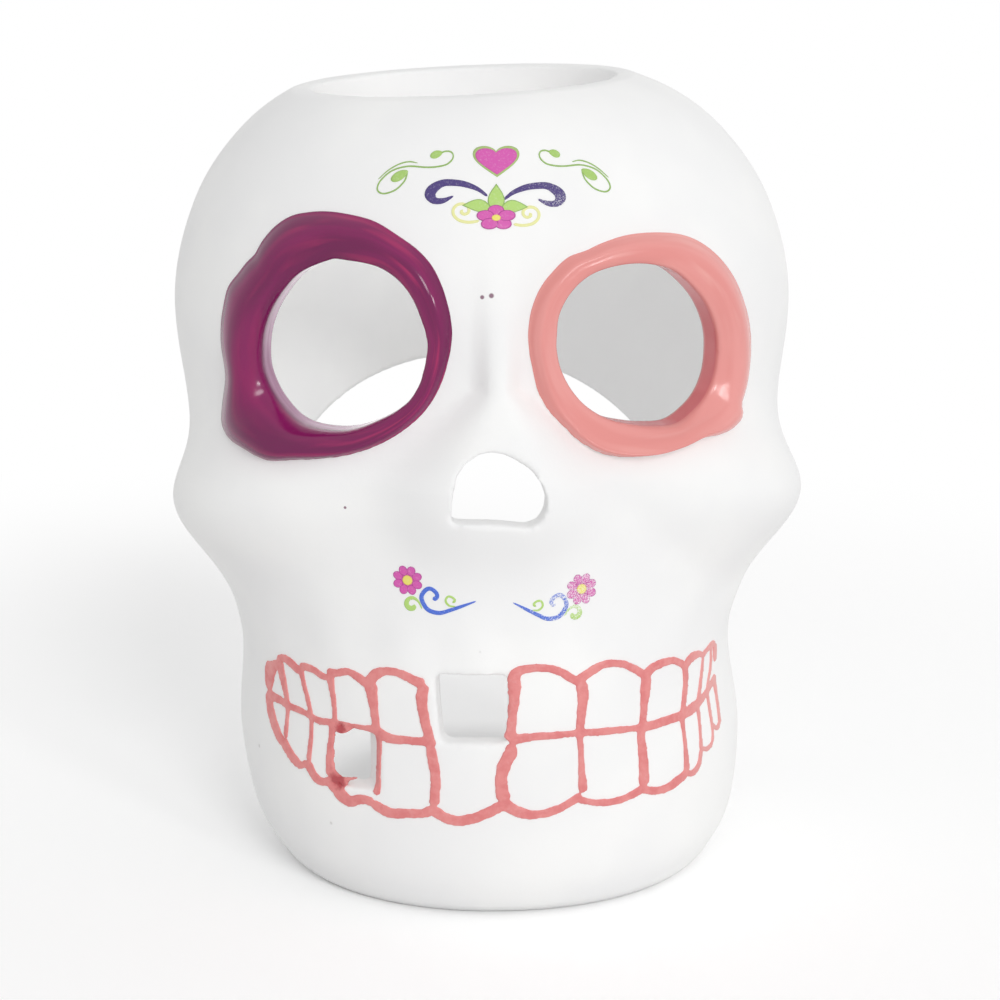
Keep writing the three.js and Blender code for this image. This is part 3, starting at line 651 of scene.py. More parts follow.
def lacquerFinish(name, look):
    material, tree = startFinish(name)
    brush = put(tree, "Attribute", attribute_name="brush").outputs["Vector"]
    depth = put(tree, "Attribute", attribute_name="depth").outputs["Fac"]
    wide = grain(tree, brush, 0.22, 2, 0.5, 0.4)
    fine = grain(tree, brush, 0.5, 2, 0.45, 0.3)
    cloud = grain(tree, objectPlace(tree), 60, 1)
    colour = mixed(tree, spread(tree, wide, 0.35, 0.62), look["deep"], look["body"])
    side = put(tree, "SeparateXYZ", {"Vector": brush}).outputs["X"]
    streakAndSheen = times(tree, spread(tree, fine, 0.5, 0.76), spread(tree, cloud, 0.35, 0.6, 0.2, 1))
    brushed = lacquers["brushLength"]
    # lighter streaks grow stronger towards the right side of each ring, where the light falls: partly real brush
    # streaks, partly painted sheen
    streakAndSheen = times(tree, streakAndSheen, spread(tree, side, -brushed, brushed, 0.5, 1.6))
    colour = mixed(tree, times(tree, streakAndSheen, look["streaks"]), colour, look["streakAndSheen"])
    # the bore's rounding and wall take a darker colour: painted shade inside the bore
    colour = mixed(tree, spread(tree, depth, 0.04, 0.14), colour, look["inside"])
    worn = times(tree, spread(tree, depth, *look["wall"]), spread(tree, fine, 0.3, 0.7, 0.6, 1))
    colour = mixed(tree, times(tree, worn, 0.75), colour, look["thin"])
    rough = spread(tree, fine, 0.3, 0.7, look["rough"] - 0.03, look["rough"] + 0.04)
    height = sums(tree, fine, times(tree, wide, 1.5))
    endFinish(tree, 1.44, colour, rough, height, look["relief"], 0.12)
    return material


for side in ("left", "right"):
    look = lacquers[side]
    paint = socketPaint(side + "SocketLacquer", sockets[side])
    dress(paint, lacquerFinish(side + "Lacquer", look), look["slot"], look["node"])
print("sockets lacquered")


# a point on the cast face: along the wrap, up, and lifted off the skin
def onFace(along, height, wrap, lift):
    turn = along / wrap
    way = Vector((math.sin(turn), -math.cos(turn), 0))
    start = Vector(toFrame((90 * way.x, 90 * way.y, height)))
    plain, plainNormal, _, plainFar = skinTree.ray_cast(start, -way)
    hit, normal, _, far = shellTree.ray_cast(start, -way)
    if hit is None or abs(far - plainFar) > 0.002:
        hit, normal = plain, plainNormal
    return hit + normal * lift * mm


# an even line through a few points, carrying the width along
def smoothLine(points, step):
    knots = np.array(points, float)
    if len(knots) == 2:
        knots = np.vstack([knots[0], knots.mean(axis=0), knots[1]])
    knots = np.vstack([2 * knots[0] - knots[1], knots, 2 * knots[-1] - knots[-2]])
    dense = []
    for a, b, c, d in zip(knots, knots[1:], knots[2:], knots[3:]):
        f = np.linspace(0, 1, 24, endpoint=False)[:, None]
        dense.append(curve(a, b, c, d, f))
    dense = np.vstack(dense + [knots[-2]])
    run = np.concatenate([[0], np.cumsum(np.hypot(*np.diff(dense[:, :2], axis=0).T))])
    even = np.linspace(0, run[-1], max(4, int(run[-1] / step) + 1))
    return np.stack([np.interp(even, run, dense[:, k]) for k in range(dense.shape[1])], 1), even


def printLayers(bm):
    layers = bm.verts.layers.float
    return [layers.get(name) or layers.new(name) for name in ("rim", "worn")]


# a flat brush stroke laid on the face, with round ends
def layStroke(bm, points, wrap, lift, step=0.3, across=4, wobble=0, seed=0, worn=None, drawn=0):
    rim, wear = printLayers(bm)
    line, run = smoothLine(points, step)
    way = np.gradient(line[:, :2], axis=0)
    way /= np.linalg.norm(way, axis=1, keepdims=True)
    side = np.stack([-way[:, 1], way[:, 0]], 1)
    half = line[:, 2] / 2
    left = right = np.ones(len(line))
    if wobble:
        left = 1 + wobble * (np.sin(run * 1.9 + seed * 2.1) + 0.7 * np.sin(run * 4.3 + seed * 5.7))
        right = 1 + wobble * (np.sin(run * 2.3 + seed * 3.3) + 0.7 * np.sin(run * 5.1 + seed * 1.3))
    toEnd = np.minimum(run, run[-1] - run)
    cap = np.sqrt(np.clip(1 - (1 - np.clip(toEnd / half, 0, 1)) ** 2, 0.02, 1))
    last = len(line) - 1
    made = bmesh.ops.create_grid(bm, x_segments=last, y_segments=across, size=1)["verts"]
    for vert in made:
        i = int(round((vert.co.x + 1) / 2 * last))
        g = vert.co.y
        reach = g * half[i] * cap[i] * (left[i] if g > 0 else right[i])
        along, up = line[i, :2] + side[i] * reach
        vert.co = onFace(along, up, wrap, lift)
        vert[rim] = drawn
        vert[wear] = 0.0 if worn is None else worn[0] + (worn[1] - worn[0]) * i / last


# a filled flat shape laid on the face, star-shaped about its middle
def layShape(bm, outline, middle, wrap, lift, worn=0, shares=(1, 0.9, 0.84, 0.5, 0.22), drawn=None):
    rim, wear = printLayers(bm)
    outline = np.array(outline, float)
    middle = np.array(middle, float)
    skin = ringSkin(bm, [[onFace(*p, wrap, lift) for p in middle + (outline - middle) * share] for share in shares])
    for ring, share in zip(skin, shares):
        for vert in ring:
            vert[rim] = (1.0 if share > 0.85 else 0) if drawn is None else drawn
            vert[wear] = worn
    bmesh.ops.pointmerge(bm, verts=nextRing(bm, skin[-1]), merge_co=onFace(*middle, wrap, lift))


def filmPiece(name, bm, thickness):
    bmesh.ops.recalc_face_normals(bm, faces=bm.faces[:])
    turned = [f for f in bm.faces if f.normal.dot(Vector((f.calc_center_median().x, f.calc_center_median().y, 0))) < 0]
    bmesh.ops.reverse_faces(bm, faces=turned)
    return filmed(name, bm, thickness)


# tooth outlines, stroke by stroke from the far left: along the wrap, height and width
teeth = {
    "wrap": 58, "proud": 0.26, "film": 0.6, "voxel": 0.24, "smoothing": 4, "wobble": 0.045, "fuller": 0.24,
    "body": tone(230, 142, 140), "thick": tone(222, 126, 126), "thin": tone(237, 182, 178), "smearAndShade": tone(176, 52, 62),
    "smearAndShadeSpots": [((-0.0313, -0.0496, 0.0379), 0.0014), ((-0.0322, -0.0492, 0.0275), 0.0018)],
    "strokes": [
        ((-56.4, 40.6, 3.07), (-56.9, 42.6, 3.87), (-56.3, 44.6, 4.07), (-54.2, 46.2, 2.15), (-51.4, 47.9, 1.32)),
        ((-52.6, 48.4, 0.83), (-50.5, 49, 1.2), (-48, 48.8, 1.73), (-45.8, 48, 1.63), (-44.1, 47.6, 1.62)),
        ((-44.5, 48.8, 1.18), (-42.6, 48.9, 1.37), (-40.4, 48.9, 1.27), (-38.4, 48.3, 1.26), (-36.5, 47.9, 1.35)),
        ((-36.6, 49.3, 1.22), (-34, 49.5, 1.33), (-31.6, 50.2, 1.21), (-29.8, 49.8, 1.32), (-27, 48.4, 1.88)),
        ((-26.7, 48.6, 2.01), (-25.5, 50.3, 1.93), (-23.8, 51.3, 1.51), (-21.9, 51.6, 1.32), (-19.7, 51.3, 1.48),
         (-17.6, 50.4, 1.58), (-15.2, 49.7, 1.77)),
        ((-57, 39.5, 1.81), (-52.6, 39.8, 1.5), (-48.7, 39.5, 1.21), (-44.7, 39.5, 1.2), (-41.1, 39.1, 1.03),
         (-38.6, 38.7, 1.24), (-36, 39.1, 1.03), (-34.1, 39.2, 0.93), (-30.7, 39.3, 0.82), (-28.1, 39.3, 1.02),
         (-25.2, 39.3, 1.61), (-22.3, 38.1, 1.71), (-19.1, 38.1, 1.42), (-16.7, 38.1, 1.42), (-14.6, 38.2, 1.73)),
        ((-51.7, 48.3, 2.13), (-51, 45.2, 2.27), (-49.8, 42.4, 1.63), (-48.7, 39.5, 1.05)),
        ((-44.2, 48.4, 1.44), (-43.5, 45.7, 1.1), (-42.3, 42.7, 1.06), (-41.1, 39.4, 1.02)),
        ((-35.9, 49.2, 1.93), (-35.4, 46.2, 1.28), (-34.8, 42.7, 0.95), (-34.7, 39.1, 0.86)),
        ((-26.3, 49, 2.66), (-26, 46.8, 2.23), (-25.5, 43.4, 1.56), (-25, 39.4, 1.38)),
        ((-15.2, 49.7, 1.86), (-15.8, 47.1, 1.98), (-15.5, 44, 1.69), (-14.6, 40, 1.61), (-13.5, 37.1, 1.17)),
        ((-57, 40.5, 2.77), (-56.2, 37.5, 2.84), (-54, 34.5, 2.63), (-51.2, 32, 2.21), (-49.7, 31.7, 2.05)),
        ((-48.7, 39.3, 1.22), (-48.9, 36.4, 0.95), (-49.3, 32.6, 1.28)),
        ((-50, 31.9, 2.76), (-47.9, 30, 2.18), (-45.7, 28.7, 2.1), (-44, 28.3, 1.27), (-42, 29.4, 1.2)),
        ((-41, 39, 0.8), (-41, 35.3, 0.9), (-41.7, 29.7, 1.04)),
        ((-42, 29.5, 1.99), (-40.6, 27.4, 1.93), (-38.9, 26.3, 1.64), (-37, 26.5, 1.36), (-35.9, 27.3, 1.48)),
        ((-35.3, 39, 1.46), (-35.5, 36, 1.16), (-36, 32.3, 1.33), (-36, 27.8, 1.81)),
        ((-36.6, 26.7, 2.06), (-34.7, 25.7, 2.38), (-33.1, 24.3, 2.67), (-31.2, 23.6, 2.1), (-28.5, 24.5, 1.66),
         (-25.8, 24.3, 1.87)),
        ((-24.8, 39.2, 1.61), (-24.7, 35.9, 1.24), (-25, 31.1, 1.07), (-25.2, 25.9, 1.45)),
        ((-26.2, 24.2, 1.94), (-23.6, 22.9, 1.95), (-21.5, 22.6, 1.86), (-18.4, 23, 1.66), (-15.9, 23.2, 1.55),
         (-13.7, 24.3, 2.06)),
        ((-14.3, 37.9, 1.32), (-13.7, 34.5, 1.77), (-13.2, 30.4, 1.66), (-13.6, 24.9, 1.76)),
        ((-13.8, 24.3, 2.17), (-12.1, 23, 1.91), (-9.6, 22.1, 1.85), (-6.7, 22.5, 1.85), (-3.9, 23.6, 1.85),
         (-0.5, 25.4, 2.05)),
        ((1, 50.1, 1.27), (1.7, 51.4, 2.09), (3, 52.5, 1.51), (5.5, 52.9, 1.31), (8.2, 52.7, 1.23),
         (10.8, 51.7, 1.33), (12.6, 50.4, 1.34), (14.6, 49.3, 1.63)),
        ((1.8, 51.2, 2.4), (1.7, 46.8, 1.7), (1.3, 43.3, 1.41), (1, 38.8, 1.61)),
        ((13.9, 49.7, 1.5), (16.7, 51.1, 1.52), (19.4, 52.2, 1.32), (22.7, 52, 1.22), (25.5, 50.8, 1.26),
         (29.2, 48.4, 1.48)),
        ((14.8, 49.4, 2.57), (15, 46.3, 1.94), (14.6, 42.8, 1.59), (14.3, 39.2, 1.31)),
        ((29, 48.4, 1.78), (31.6, 49.6, 1.6), (34.8, 49.9, 1.46), (37.7, 49.5, 1.19), (41.4, 47.4, 1.32)),
        ((29.5, 48.4, 2.36), (29.1, 45.4, 2.28), (28.6, 42, 1.52), (28.1, 38.2, 1.51)),
        ((41, 47.8, 1.81), (43.3, 48.6, 1.83), (46.2, 48.7, 1.28), (49.4, 47.8, 0.73)),
        ((41, 47.8, 1.8), (41.2, 44.7, 1.45), (40.5, 41.7, 1.37), (39.5, 38.3, 1.16)),
        ((48.1, 47.8, 1.42), (50.9, 48.5, 1.43), (53.8, 48.9, 1.61), (55.4, 48.3, 0.98)),
        ((48.7, 47.9, 1.05), (47.9, 44.9, 1.25), (46.6, 41.7, 1.01), (45, 38.5, 1.04)),
        ((53, 48.3, 1.25), (52.5, 44.7, 1.25), (50.6, 41.9, 1), (49, 39.7, 0.76)),
        ((55.1, 48.7, 2.44), (55.4, 46.3, 2.77), (54.9, 44.7, 1.58)),
        ((0.5, 38.6, 1.53), (2.4, 39, 1.63), (5.6, 39.3, 1.32), (9.4, 39.3, 1.22), (13.4, 39.3, 1.02),
         (17.5, 39, 1.23), (21.7, 38.7, 1.23), (26.4, 38.3, 1.03), (30.1, 38, 1.57), (34.1, 38.1, 1.58),
         (38.8, 38, 1.64), (42.2, 38.3, 2.02), (46, 39, 1.66), (50.2, 40.3, 1.5), (55, 41.8, 2.34)),
        ((0.4, 37.9, 1.6), (1, 36.4, 2.18), (-0.3, 33.5, 2.21), (-0.8, 30.2, 2.07), (-0.2, 26, 2.47)),
        ((-0.5, 25.9, 2.19), (1.3, 24.6, 2.01), (3.7, 23.5, 1.82), (6.2, 23.2, 1.45), (9.1, 23.7, 1.56),
         (12, 24.9, 1.33), (14.7, 26.5, 1.65)),
        ((14.2, 39.2, 1.18), (14.5, 35.7, 0.91), (14.7, 31.6, 1.1), (15.1, 26.9, 1.75)),
        ((14.1, 25.7, 1.22), (16.5, 24.8, 1.03), (19.6, 24.2, 1.25), (22.9, 24.2, 1.27), (25.7, 24.8, 1.37),
         (28.2, 25.6, 1.83)),
        ((27.6, 38, 1.56), (27.8, 35.1, 1.71), (28.2, 30.9, 1.97), (28.4, 26, 2.3)),
        ((27.6, 25.6, 1.34), (30.6, 24.5, 1.36), (33.9, 24.2, 1.49), (36.7, 24.8, 1.82), (40.4, 26, 1.63)),
        ((39.1, 37.7, 1.18), (39.6, 33.8, 0.84), (39.9, 29.6, 1.12), (40.1, 26.1, 1.55)),
        ((39.4, 26.4, 0.93), (41.2, 25.4, 1.06), (43.2, 25.6, 1.3), (44.6, 27.2, 1.1), (45.1, 29.4, 0.9)),
        ((45, 38.6, 1), (45.2, 34.9, 0.75), (45.2, 31.3, 0.75), (45.1, 29.5, 1.3)),
        ((44.7, 29.8, 0.6), (47.4, 28.8, 1.09), (50, 29.2, 1.28)),
        ((49.6, 40, 1.22), (50, 36.1, 1.22), (50.4, 31.8, 0.99), (50, 29.3, 1.26)),
        ((50.3, 33.2, 1.16), (52.3, 31.7, 1.01), (54.3, 32, 1.84)),
        ((53.9, 41.4, 2.14), (54.3, 37.7, 1.52), (54.4, 34, 1.52), (54.3, 31.8, 1.82)),
    ],
    # paint that ran into the corners of the lower gap
    "runs": [
        ((-34.8, 38.6, 1.2), (-33.4, 38.1, 1.5), (-32, 38.3, 0.9), (-30.6, 38.8, 0.3)),
        ((-35.8, 29.4, 0.9), (-34.8, 28.3, 1.8), (-33.6, 27.3, 2), (-32, 26.7, 1.4)),
        ((-33.6, 27.8, 0.8), (-31.6, 28.2, 0.5), (-29.2, 28.9, 0.1)),
    ],
}


def toothFinish():
    material, tree = startFinish("toothPaint")
    where = objectPlace(tree)
    pool = grain(tree, where, 330, 3, 0.6)
    drag = grain(tree, where, 900, 2, 0.6)
    colour = mixed(tree, spread(tree, pool, 0.38, 0.66), teeth["body"], teeth["thick"])
    colour = mixed(tree, spread(tree, drag, 0.5, 0.75, 0, 0.2), colour, teeth["thin"])
    side = put(tree, "SeparateXYZ", {"Vector": where}).outputs["X"]
    fading = times(tree, spread(tree, side, 0.034, 0.046), spread(tree, pool, 0.3, 0.7, 0.35, 0.8))
    colour = mixed(tree, fading, colour, teeth["thin"])
    ragged = spread(tree, pool, 0.3, 0.7, -0.0006, 0.0008)
    # two darker red spots in the corners of the lower gap: partly thicker paint runs, partly painted shade in the
    # corners
    for corner, far in teeth["smearAndShadeSpots"]:
        near = sums(tree, awayFrom(tree, where, corner), ragged)
        colour = mixed(tree, spread(tree, near, far * 0.5, far * 1.3, 0.85, 0), colour, teeth["smearAndShade"])
    endFinish(tree, 1.48, colour, spread(tree, pool, 0.3, 0.7, 0.38, 0.55), drag, 0.3, 0.1)
    return material


bm = bmesh.new()
for k, points in enumerate(teeth["strokes"] + teeth["runs"]):
    fuller = [(along, up, (width * 1.05 + teeth["fuller"]) * (0.75 if along > 47 else 1)) for along, up, width in points]
    layStroke(bm, fuller, teeth["wrap"], teeth["proud"], 0.35, 4, teeth["wobble"], k)
toothPaint = filmPiece("toothOutlinePaint", bm, teeth["film"])
evenSkin(toothPaint, teeth)
finished(toothPaint)
dress(toothPaint, toothFinish(), "tooth_paint", "tooth_outline_paint")
print("teeth outlined:", len(toothPaint.data.polygons), "faces")

# water-slide transfers; a rim darkens the drawn edge, worn lets the clay show through
prints = {
    "film": 0.12, "proud": 0.07,
    "magenta_print": {"body": tone(214, 90, 176), "edge": tone(176, 62, 146)},
    "olive_print": {"body": tone(176, 200, 126), "edge": tone(170, 196, 120)},
    "yellow_print": {"body": tone(238, 226, 112), "edge": tone(222, 196, 84)},
    "green_print": {"body": tone(180, 216, 118), "edge": tone(146, 182, 98)},
    "indigo_print": {"body": tone(74, 58, 122), "edge": tone(60, 44, 106)},
    "pale_yellow_print": {"body": tone(235, 235, 164), "edge": tone(230, 230, 152)},
    "blue_print": {"body": tone(76, 112, 214), "edge": tone(56, 88, 190)},
}


def printFinish(slot):
    look = prints[slot]
    material, tree = startFinish(slot.replace("_print", "Print"))
    where = objectPlace(tree)
    rim = put(tree, "Attribute", attribute_name="rim").outputs["Fac"]
    worn = put(tree, "Attribute", attribute_name="worn").outputs["Fac"]
    dots = grain(tree, where, 2600, 2, 0.6)
    patch = grain(tree, where, 500, 2, 0.5)
    colour = mixed(tree, spread(tree, rim, 0.35, 0.95, 0, 1), look["body"], look["edge"])
    paler = [0.55 * c + 0.45 * 0.9 for c in look["body"][:3]] + [1]
    colour = mixed(tree, spread(tree, dots, 0.5, 0.75, 0, 0.3), colour, paler)
    holes = grain(tree, where, 5200, 1, 0.5)
    gone = sums(tree, sums(tree, holes, times(tree, patch, 0.3)), times(tree, worn, 0.5))
    colour = mixed(tree, spread(tree, gone, 0.86, 1.25), colour, bisque["light"])
    endFinish(tree, 1.48, colour, spread(tree, patch, 0.3, 0.7, 0.42, 0.58), dots, 0.15, 0.05)
    return material


printFinishes = {slot: printFinish(slot) for slot in prints if slot.endswith("_print")}


# leftLipCurl takes the place of left_lip_curl_transfer
def addPrint(name, bm, slot):
    node = "".join("_" + c.lower() if c.isupper() else c for c in name) + "_transfer"
    dress(finished(filmPiece(name, bm, prints["film"])), printFinishes[slot], slot, node)


def printOf(name, slot, lay, *shape, **more):
    bm = bmesh.new()
    lay(bm, *shape, **more)
    addPrint(name, bm, slot)


def oval(middle, size, turn=0, count=32):
    a = np.arange(count) / count * math.tau
    x, y = size[0] * np.cos(a), size[1] * np.sin(a)
    c, s = math.cos(turn), math.sin(turn)
    return np.stack([middle[0] + c * x - s * y, middle[1] + s * x + c * y], 1)


# a leaf: pointed at both ends, fullest below its middle
def leafLine(tip, root, width, bend=0, blunt=1, count=20):
    tip, root = np.array(tip, float), np.array(root, float)
    way = tip - root
    side = np.array((-way[1], way[0])) / np.linalg.norm(way)
    f = np.arange(count) / count
    half = width * np.sin(math.pi * f ** 0.85) ** blunt
    middle = root + f[:, None] * way + (bend * np.sin(math.pi * f))[:, None] * side
    back = root + (1 - f)[:, None] * way + (bend * np.sin(math.pi * f))[:, None] * side
    backHalf = width * np.abs(np.sin(math.pi * (1 - f) ** 0.85)) ** blunt
    return np.vstack([middle - half[:, None] * side, back + backHalf[:, None] * side])


forehead = {
    "wrap": 46, "at": (-1, 138.6),
    "heart": {"x": 0.4, "rise": 9.75, "size": (9, 5.4), "border": 0.42},
    "tendril": [(10.2, 11.2), (9.3, 11.5), (8.3, 11.4), (7.8, 10.8), (8, 10), (9, 9.2), (10.8, 8.8), (12.7, 8.7),
                (16, 8.8), (18.7, 8), (20.3, 6.4), (20.7, 5), (20.2, 4.2), (19.1, 4), (17.4, 4.7), (16.2, 6.1),
                (15.9, 7.2), (16, 8)],
    "tendrilWidth": 0.26, "rightApart": 0.9,
    "echo": [(20.9, 6.4, 0.12), (19.5, 8, 0.2), (17.8, 9.1, 0.22), (16, 9.6, 0.22), (14.3, 9.4, 0.12)],
    "buds": [((9.9, 11.3), (12.2, 10.6), 0.66), ((15.8, 8), (18.6, 6.3), 0.85)],
    "scroll": [(1.4, 3.5, 0.4), (3.07, 4.7, 0.7), (5.21, 5.5, 1), (7.26, 5.8, 1.1), (9.3, 5.7, 1.25), (10.89, 4.7, 1.8),
               (11.26, 3.7, 1.9), (10.42, 2.7, 1.2), (8.93, 2.7, 0.9), (7.26, 3.5, 0.25)],
    "paleCurl": [(2.8, -0.8, 0.45), (4.4, -1.05, 0.5), (6, -0.75, 0.5), (7, 0.15, 0.5), (7.15, 1.2, 0.5),
                 (6.5, 2, 0.5), (5.4, 2.1, 0.5), (4.6, 1.5, 0.5), (4.6, 0.7, 0.5), (5.2, 0.35, 0.5), (5.8, 0.65, 0.55),
                 (5.6, 1.15, 0.6)],
    # tip, root, half width, bend and lift
    "leaves": {"left": ((-5.7, 2.2), (-0.4, 1.2), 1.1, -0.5, 0.02), "middle": ((0.2, 5.9), (0, 0.8), 1.45, 0, 0.03),
               "right": ((5.5, 1.8), (0.4, 1.2), 1.1, 0.5, 0.02)},
    "flower": (3.35, 2.25), "petals": 5, "eye": (0.75, 0.55),
}


def foreheadPoint(x, y, *rest):
    return (forehead["at"][0] + x, forehead["at"][1] + y) + rest


def heartLine(shrink):
    wide = forehead["heart"]["size"][0] / 2 - 1.2 * shrink
    tall = forehead["heart"]["size"][1] - 2 * shrink
    y0 = forehead["heart"]["rise"]
    knots = [(0, -0.5), (-0.5, -0.22), (-1, 0), (-1, 0.25), (-1, 0.56), (-0.22, 0.56), (0, 0.33),
             (0.22, 0.56), (1, 0.56), (1, 0.25), (1, 0), (0.5, -0.22), (0, -0.5)]
    points = []
    for k in range(0, 12, 3):
        a, b, c, d = (np.array(p) for p in knots[k:k + 4])
        for f in np.linspace(0, 1, 14, endpoint=False):
            x, y = a * (1 - f) ** 3 + 3 * b * f * (1 - f) ** 2 + 3 * c * f * f * (1 - f) + d * f ** 3
            points.append(foreheadPoint(forehead["heart"]["x"] + wide * x, y0 + tall * y))
    return points


def petalRing(bm, middle, size, petals, start, wrap, lift, worn, seat, petal):
    for k in range(petals):
        turn = start + math.tau * k / petals
        centre = np.array((math.cos(turn), math.sin(turn))) * seat
        points = (oval(centre, petal, turn) * size) + middle
        layShape(bm, points, centre * size + middle, wrap, lift + 0.006 * (k % 3), worn)


wrap, proud = forehead["wrap"], prints["proud"]
heartMiddle = foreheadPoint(forehead["heart"]["x"], forehead["heart"]["rise"] + 0.1)
printOf("heartBorder", "olive_print", layShape, heartLine(0), heartMiddle, wrap, proud - 0.02)
inner = heartLine(forehead["heart"]["border"])
printOf("heart", "magenta_print", layShape, inner, heartMiddle, wrap, proud + 0.03, drawn=0)

for name, way in (("left", -1), ("right", 1)):
    down = 0.35 if way > 0 else -0.3
    apart = forehead["rightApart"] if way > 0 else 0.0

    def onSide(x, y, *rest):
        return foreheadPoint(way * (x + apart * min(1, max(0, (20 - x) / 12))), y, *rest)

    bm = bmesh.new()
    layStroke(bm, [onSide(x, y, forehead["tendrilWidth"]) for x, y in forehead["tendril"]], wrap, proud, drawn=1)
    layStroke(bm, [onSide(*p) for p in forehead["echo"]], wrap, proud, drawn=1)
    for (x, y), (x2, y2), width in forehead["buds"]:
        outline = [onSide(a, b) for a, b in leafLine((x, y), (x2, y2), width, blunt=0.6)]
        layShape(bm, outline, np.mean(outline, axis=0), wrap, proud + 0.02, shares=(0.99, 0.7, 0.4), drawn=0.6)
    addPrint(name + "Tendril", bm, "green_print")
    scroll, curl = ([foreheadPoint(way * x, y - down, w) for x, y, w in forehead[part]] for part in ("scroll", "paleCurl"))
    fade = (0, 0.6 if way > 0 else 0.1)
    printOf(name + "Scroll", "indigo_print", layStroke, scroll, wrap, proud, 0.25, 6, worn=fade)
    printOf(name + "PaleCurl", "pale_yellow_print", layStroke, curl, wrap, proud)
for name, (tip, root, width, bend, lift) in forehead["leaves"].items():
    outline = [foreheadPoint(*p) for p in leafLine(tip, root, width, bend)]
    printOf(name + "Leaf", "green_print", layShape, outline, np.mean(outline, axis=0), wrap, proud + lift)
middle = forehead["at"]
printOf("flower", "magenta_print", petalRing, middle, forehead["flower"], forehead["petals"], math.pi / 2, wrap,
        proud + 0.06, 0, 0.56, (0.44, 0.42))
printOf("flowerCentre", "yellow_print", layShape, oval(middle, forehead["eye"]), middle, wrap, proud + 0.1)
print("forehead printed")

underNose = {
    "wrap": 58,
    "left": {"side": -1, "at": (-5.5, 66.2), "tilt": 0, "bloom": 3.05, "worn": (0.1, 0.2)},
    "right": {"side": 1, "at": (1.6, 65.8), "tilt": -8, "bloom": 3.2, "worn": (0.35, 0.85)},
    "scroll": [(0, 0, 0.21), (2.6, -1, 0.59), (5, -1.9, 0.71), (7, -2.5, 0.8), (9, -2.1, 0.84), (10.1, -0.9, 0.84),
               (10.5, 0.6, 0.84), (9.7, 1.9, 0.84), (8.7, 2.3, 0.8), (7.6, 1.5, 0.8), (7.5, 0.6, 0.84), (8.3, 0.1, 0.92)],
    "curl": [(3.9, -1.1, 0.22), (5.1, -1, 0.38), (5.8, -0.1, 0.41), (5.4, 0.8, 0.41), (4.6, 0.75, 0.41), (4, 0.1, 0.45),
             (4.5, -0.35, 0.52)],
    "comma": [(10.4, -1.9, 0.2), (11.1, -0.5, 0.4), (12.1, 0.2, 0.64), (13.1, -0.1, 0.8), (13.5, -1, 0.96),
              (13, -1.8, 1.04), (12.1, -1.8, 0.96), (11.9, -1.1, 0.72)],
    "blossom": (13.2, 3.7), "petals": 8, "eye": 1,
}
wrap = underNose["wrap"]
for name in ("left", "right"):
    spot = underNose[name]
    turn = math.radians(spot["tilt"])

    def placed(x, y, *rest):
        along = x * math.cos(turn) - y * math.sin(turn)
        return (spot["at"][0] + spot["side"] * along, spot["at"][1] + x * math.sin(turn) + y * math.cos(turn)) + rest

    low, high = spot["worn"]
    bloom = placed(*underNose["blossom"])
    bm = bmesh.new()
    layShape(bm, oval(bloom, (1.6, 1.6)), bloom, wrap, proud - 0.01, high * 0.8)
    size = (spot["bloom"], spot["bloom"])
    petalRing(bm, bloom, size, underNose["petals"], math.pi / 8, wrap, proud, high * 0.75, 0.67, (0.33, 0.28))
    addPrint(name + "LipBlossom", bm, "magenta_print")
    eye = oval(bloom, (underNose["eye"],) * 2)
    printOf(name + "LipBlossomCentre", "yellow_print", layShape, eye, bloom, wrap, proud + 0.04, high * 0.7)
    for part, slot, lift, across, worn in (
            ("scroll", "blue_print", 0, 5, spot["worn"]), ("curl", "green_print", 0.01, 4, (low, low)),
            ("comma", "green_print", 0.01, 5, (high, high * 0.6))):
        line = [placed(*p) for p in underNose[part]]
        printOf(name + "Lip" + part.title(), slot, layStroke, line, wrap, proud - lift, 0.25, across, worn=worn)
print("upper lip printed")

# floor, light and camera
studio = {
    "camera": (-0.0399, -0.5444, 0.2097), "tilt": 14.241, "heading": 4.59, "lens": 95.97,
    "sunFrom": (0.22, -0.975), "sunHeight": 29, "sunAngle": 17, "sunStrength": 0.62,
    "sideFrom": (0.53, -0.85), "sideHeight": 16, "sideAngle": 8, "sideStrength": 0.38,
    "skyLeft": 0.65, "skyRight": 0.74, "floor": 1.155, "floorFade": (0.15, 0.35), "bounce": 0.88,
    "underFoot": (0.044, 0.063), "footStretch": (1.4, 1, 0), "footShift": (0, -0.004, 0),
    "fillAt": (-0.018, 0.005, 0.112), "fillSize": 0.03, "fillStrength": 0.02,
}
camera = bpy.data.objects.new("camera", bpy.data.cameras.new("camera"))
camera.data.lens = studio["lens"]
camera.data.sensor_width = 36
camera.location = studio["camera"]
camera.rotation_euler = (math.radians(90 - studio["tilt"]), 0, -math.radians(studio["heading"]))
scene.collection.objects.link(camera)
scene.camera = camera

for name in ("sun", "side"):
    lamp = bpy.data.objects.new(name + "Light", bpy.data.lights.new(name + "Light", "SUN"))
    lamp.data.energy = studio[name + "Strength"]
    lamp.data.angle = math.radians(studio[name + "Angle"])
    high = math.tan(math.radians(studio[name + "Height"]))
    flat = Vector(studio[name + "From"]).normalized()
    lamp.rotation_euler = Vector((flat.x, flat.y, high)).to_track_quat("Z", "Y").to_euler()
    scene.collection.objects.link(lamp)

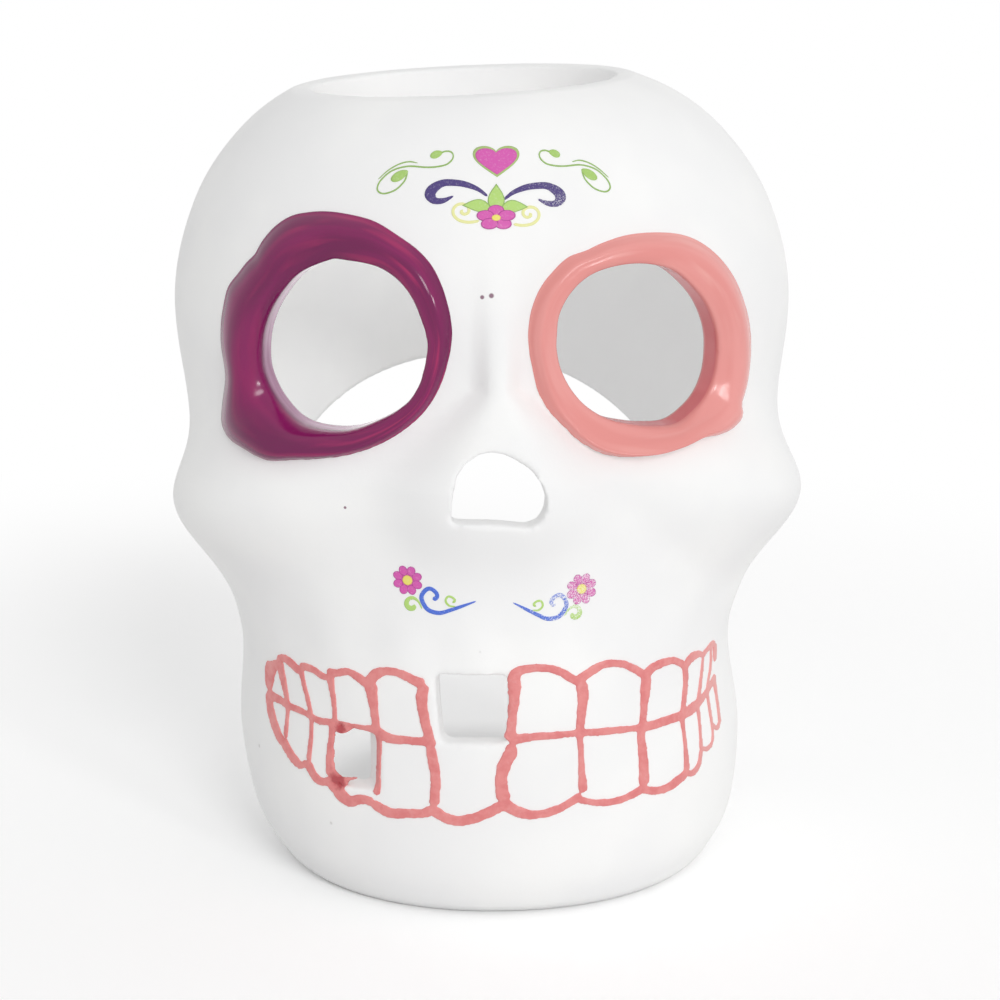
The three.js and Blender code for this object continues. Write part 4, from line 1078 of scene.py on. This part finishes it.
# soft lamp in the hollow, since the room light that reaches it is spread by many bounces
fill = bpy.data.objects.new("hollowLight", bpy.data.lights.new("hollowLight", "POINT"))
fill.data.energy = studio["fillStrength"]
fill.data.shadow_soft_size = studio["fillSize"]
fill.location = studio["fillAt"]
fill.visible_camera = False
scene.collection.objects.link(fill)

# white surroundings, brighter on the right
world = bpy.data.worlds.new("studio")
scene.world = world
world.use_nodes = True
tree = world.node_tree
sky = tree.nodes["Background"]
way = put(tree, "SeparateXYZ", {"Vector": put(tree, "TexCoord").outputs["Generated"]}).outputs["X"]
level = spread(tree, way, -0.7, 0.7, studio["skyLeft"], studio["skyRight"])
shown = put(tree, "Mix", {"Factor": seenRays(tree), "A": level, "B": 1}, data_type="FLOAT").outputs["Result"]
tree.links.new(shown, sky.inputs["Strength"])
sky.inputs["Color"].default_value = (1, 1, 1, 1)


# paper floor: white where it is lit, keeps the shadow near the object, white further out, and darker inside the
# footprint as painted shade for the hollow
def floorFinish():
    material, tree = startFinish("paperFloor")
    tree.nodes.remove(tree.nodes["Principled BSDF"])
    where = objectPlace(tree)
    stretched = {0: where, 1: studio["footStretch"], 2: studio["footShift"]}
    foot = put(tree, "VectorMath", stretched, operation="MULTIPLY_ADD").outputs["Vector"]
    far, fromFoot = (put(tree, "VectorMath", {0: v}, operation="LENGTH").outputs["Value"] for v in (where, foot))
    # inside the footprint the floor takes the darker bounce colour: painted shade standing for the shade inside the
    # hollow
    level = spread(tree, fromFoot, *studio["underFoot"], studio["bounce"], studio["floor"])
    lit = put(tree, "BsdfDiffuse", {"Color": level}).outputs[0]
    white = put(tree, "Emission", {"Strength": 1}).outputs[0]
    look = put(tree, "MixShader", {0: spread(tree, far, *studio["floorFade"]), 1: lit, 2: white}).outputs[0]
    bounce = put(tree, "BsdfDiffuse", {"Color": (studio["bounce"],) * 3 + (1,)}).outputs[0]
    shown = put(tree, "MixShader", {0: seenRays(tree), 1: bounce, 2: look}).outputs[0]
    tree.links.new(shown, tree.nodes["Material Output"].inputs["Surface"])
    return material


bm = bmesh.new()
bmesh.ops.create_circle(bm, cap_ends=True, segments=96, radius=6)
floor = newObject("floor", bm)
floor.data.materials.append(floorFinish())
print("studio lit")
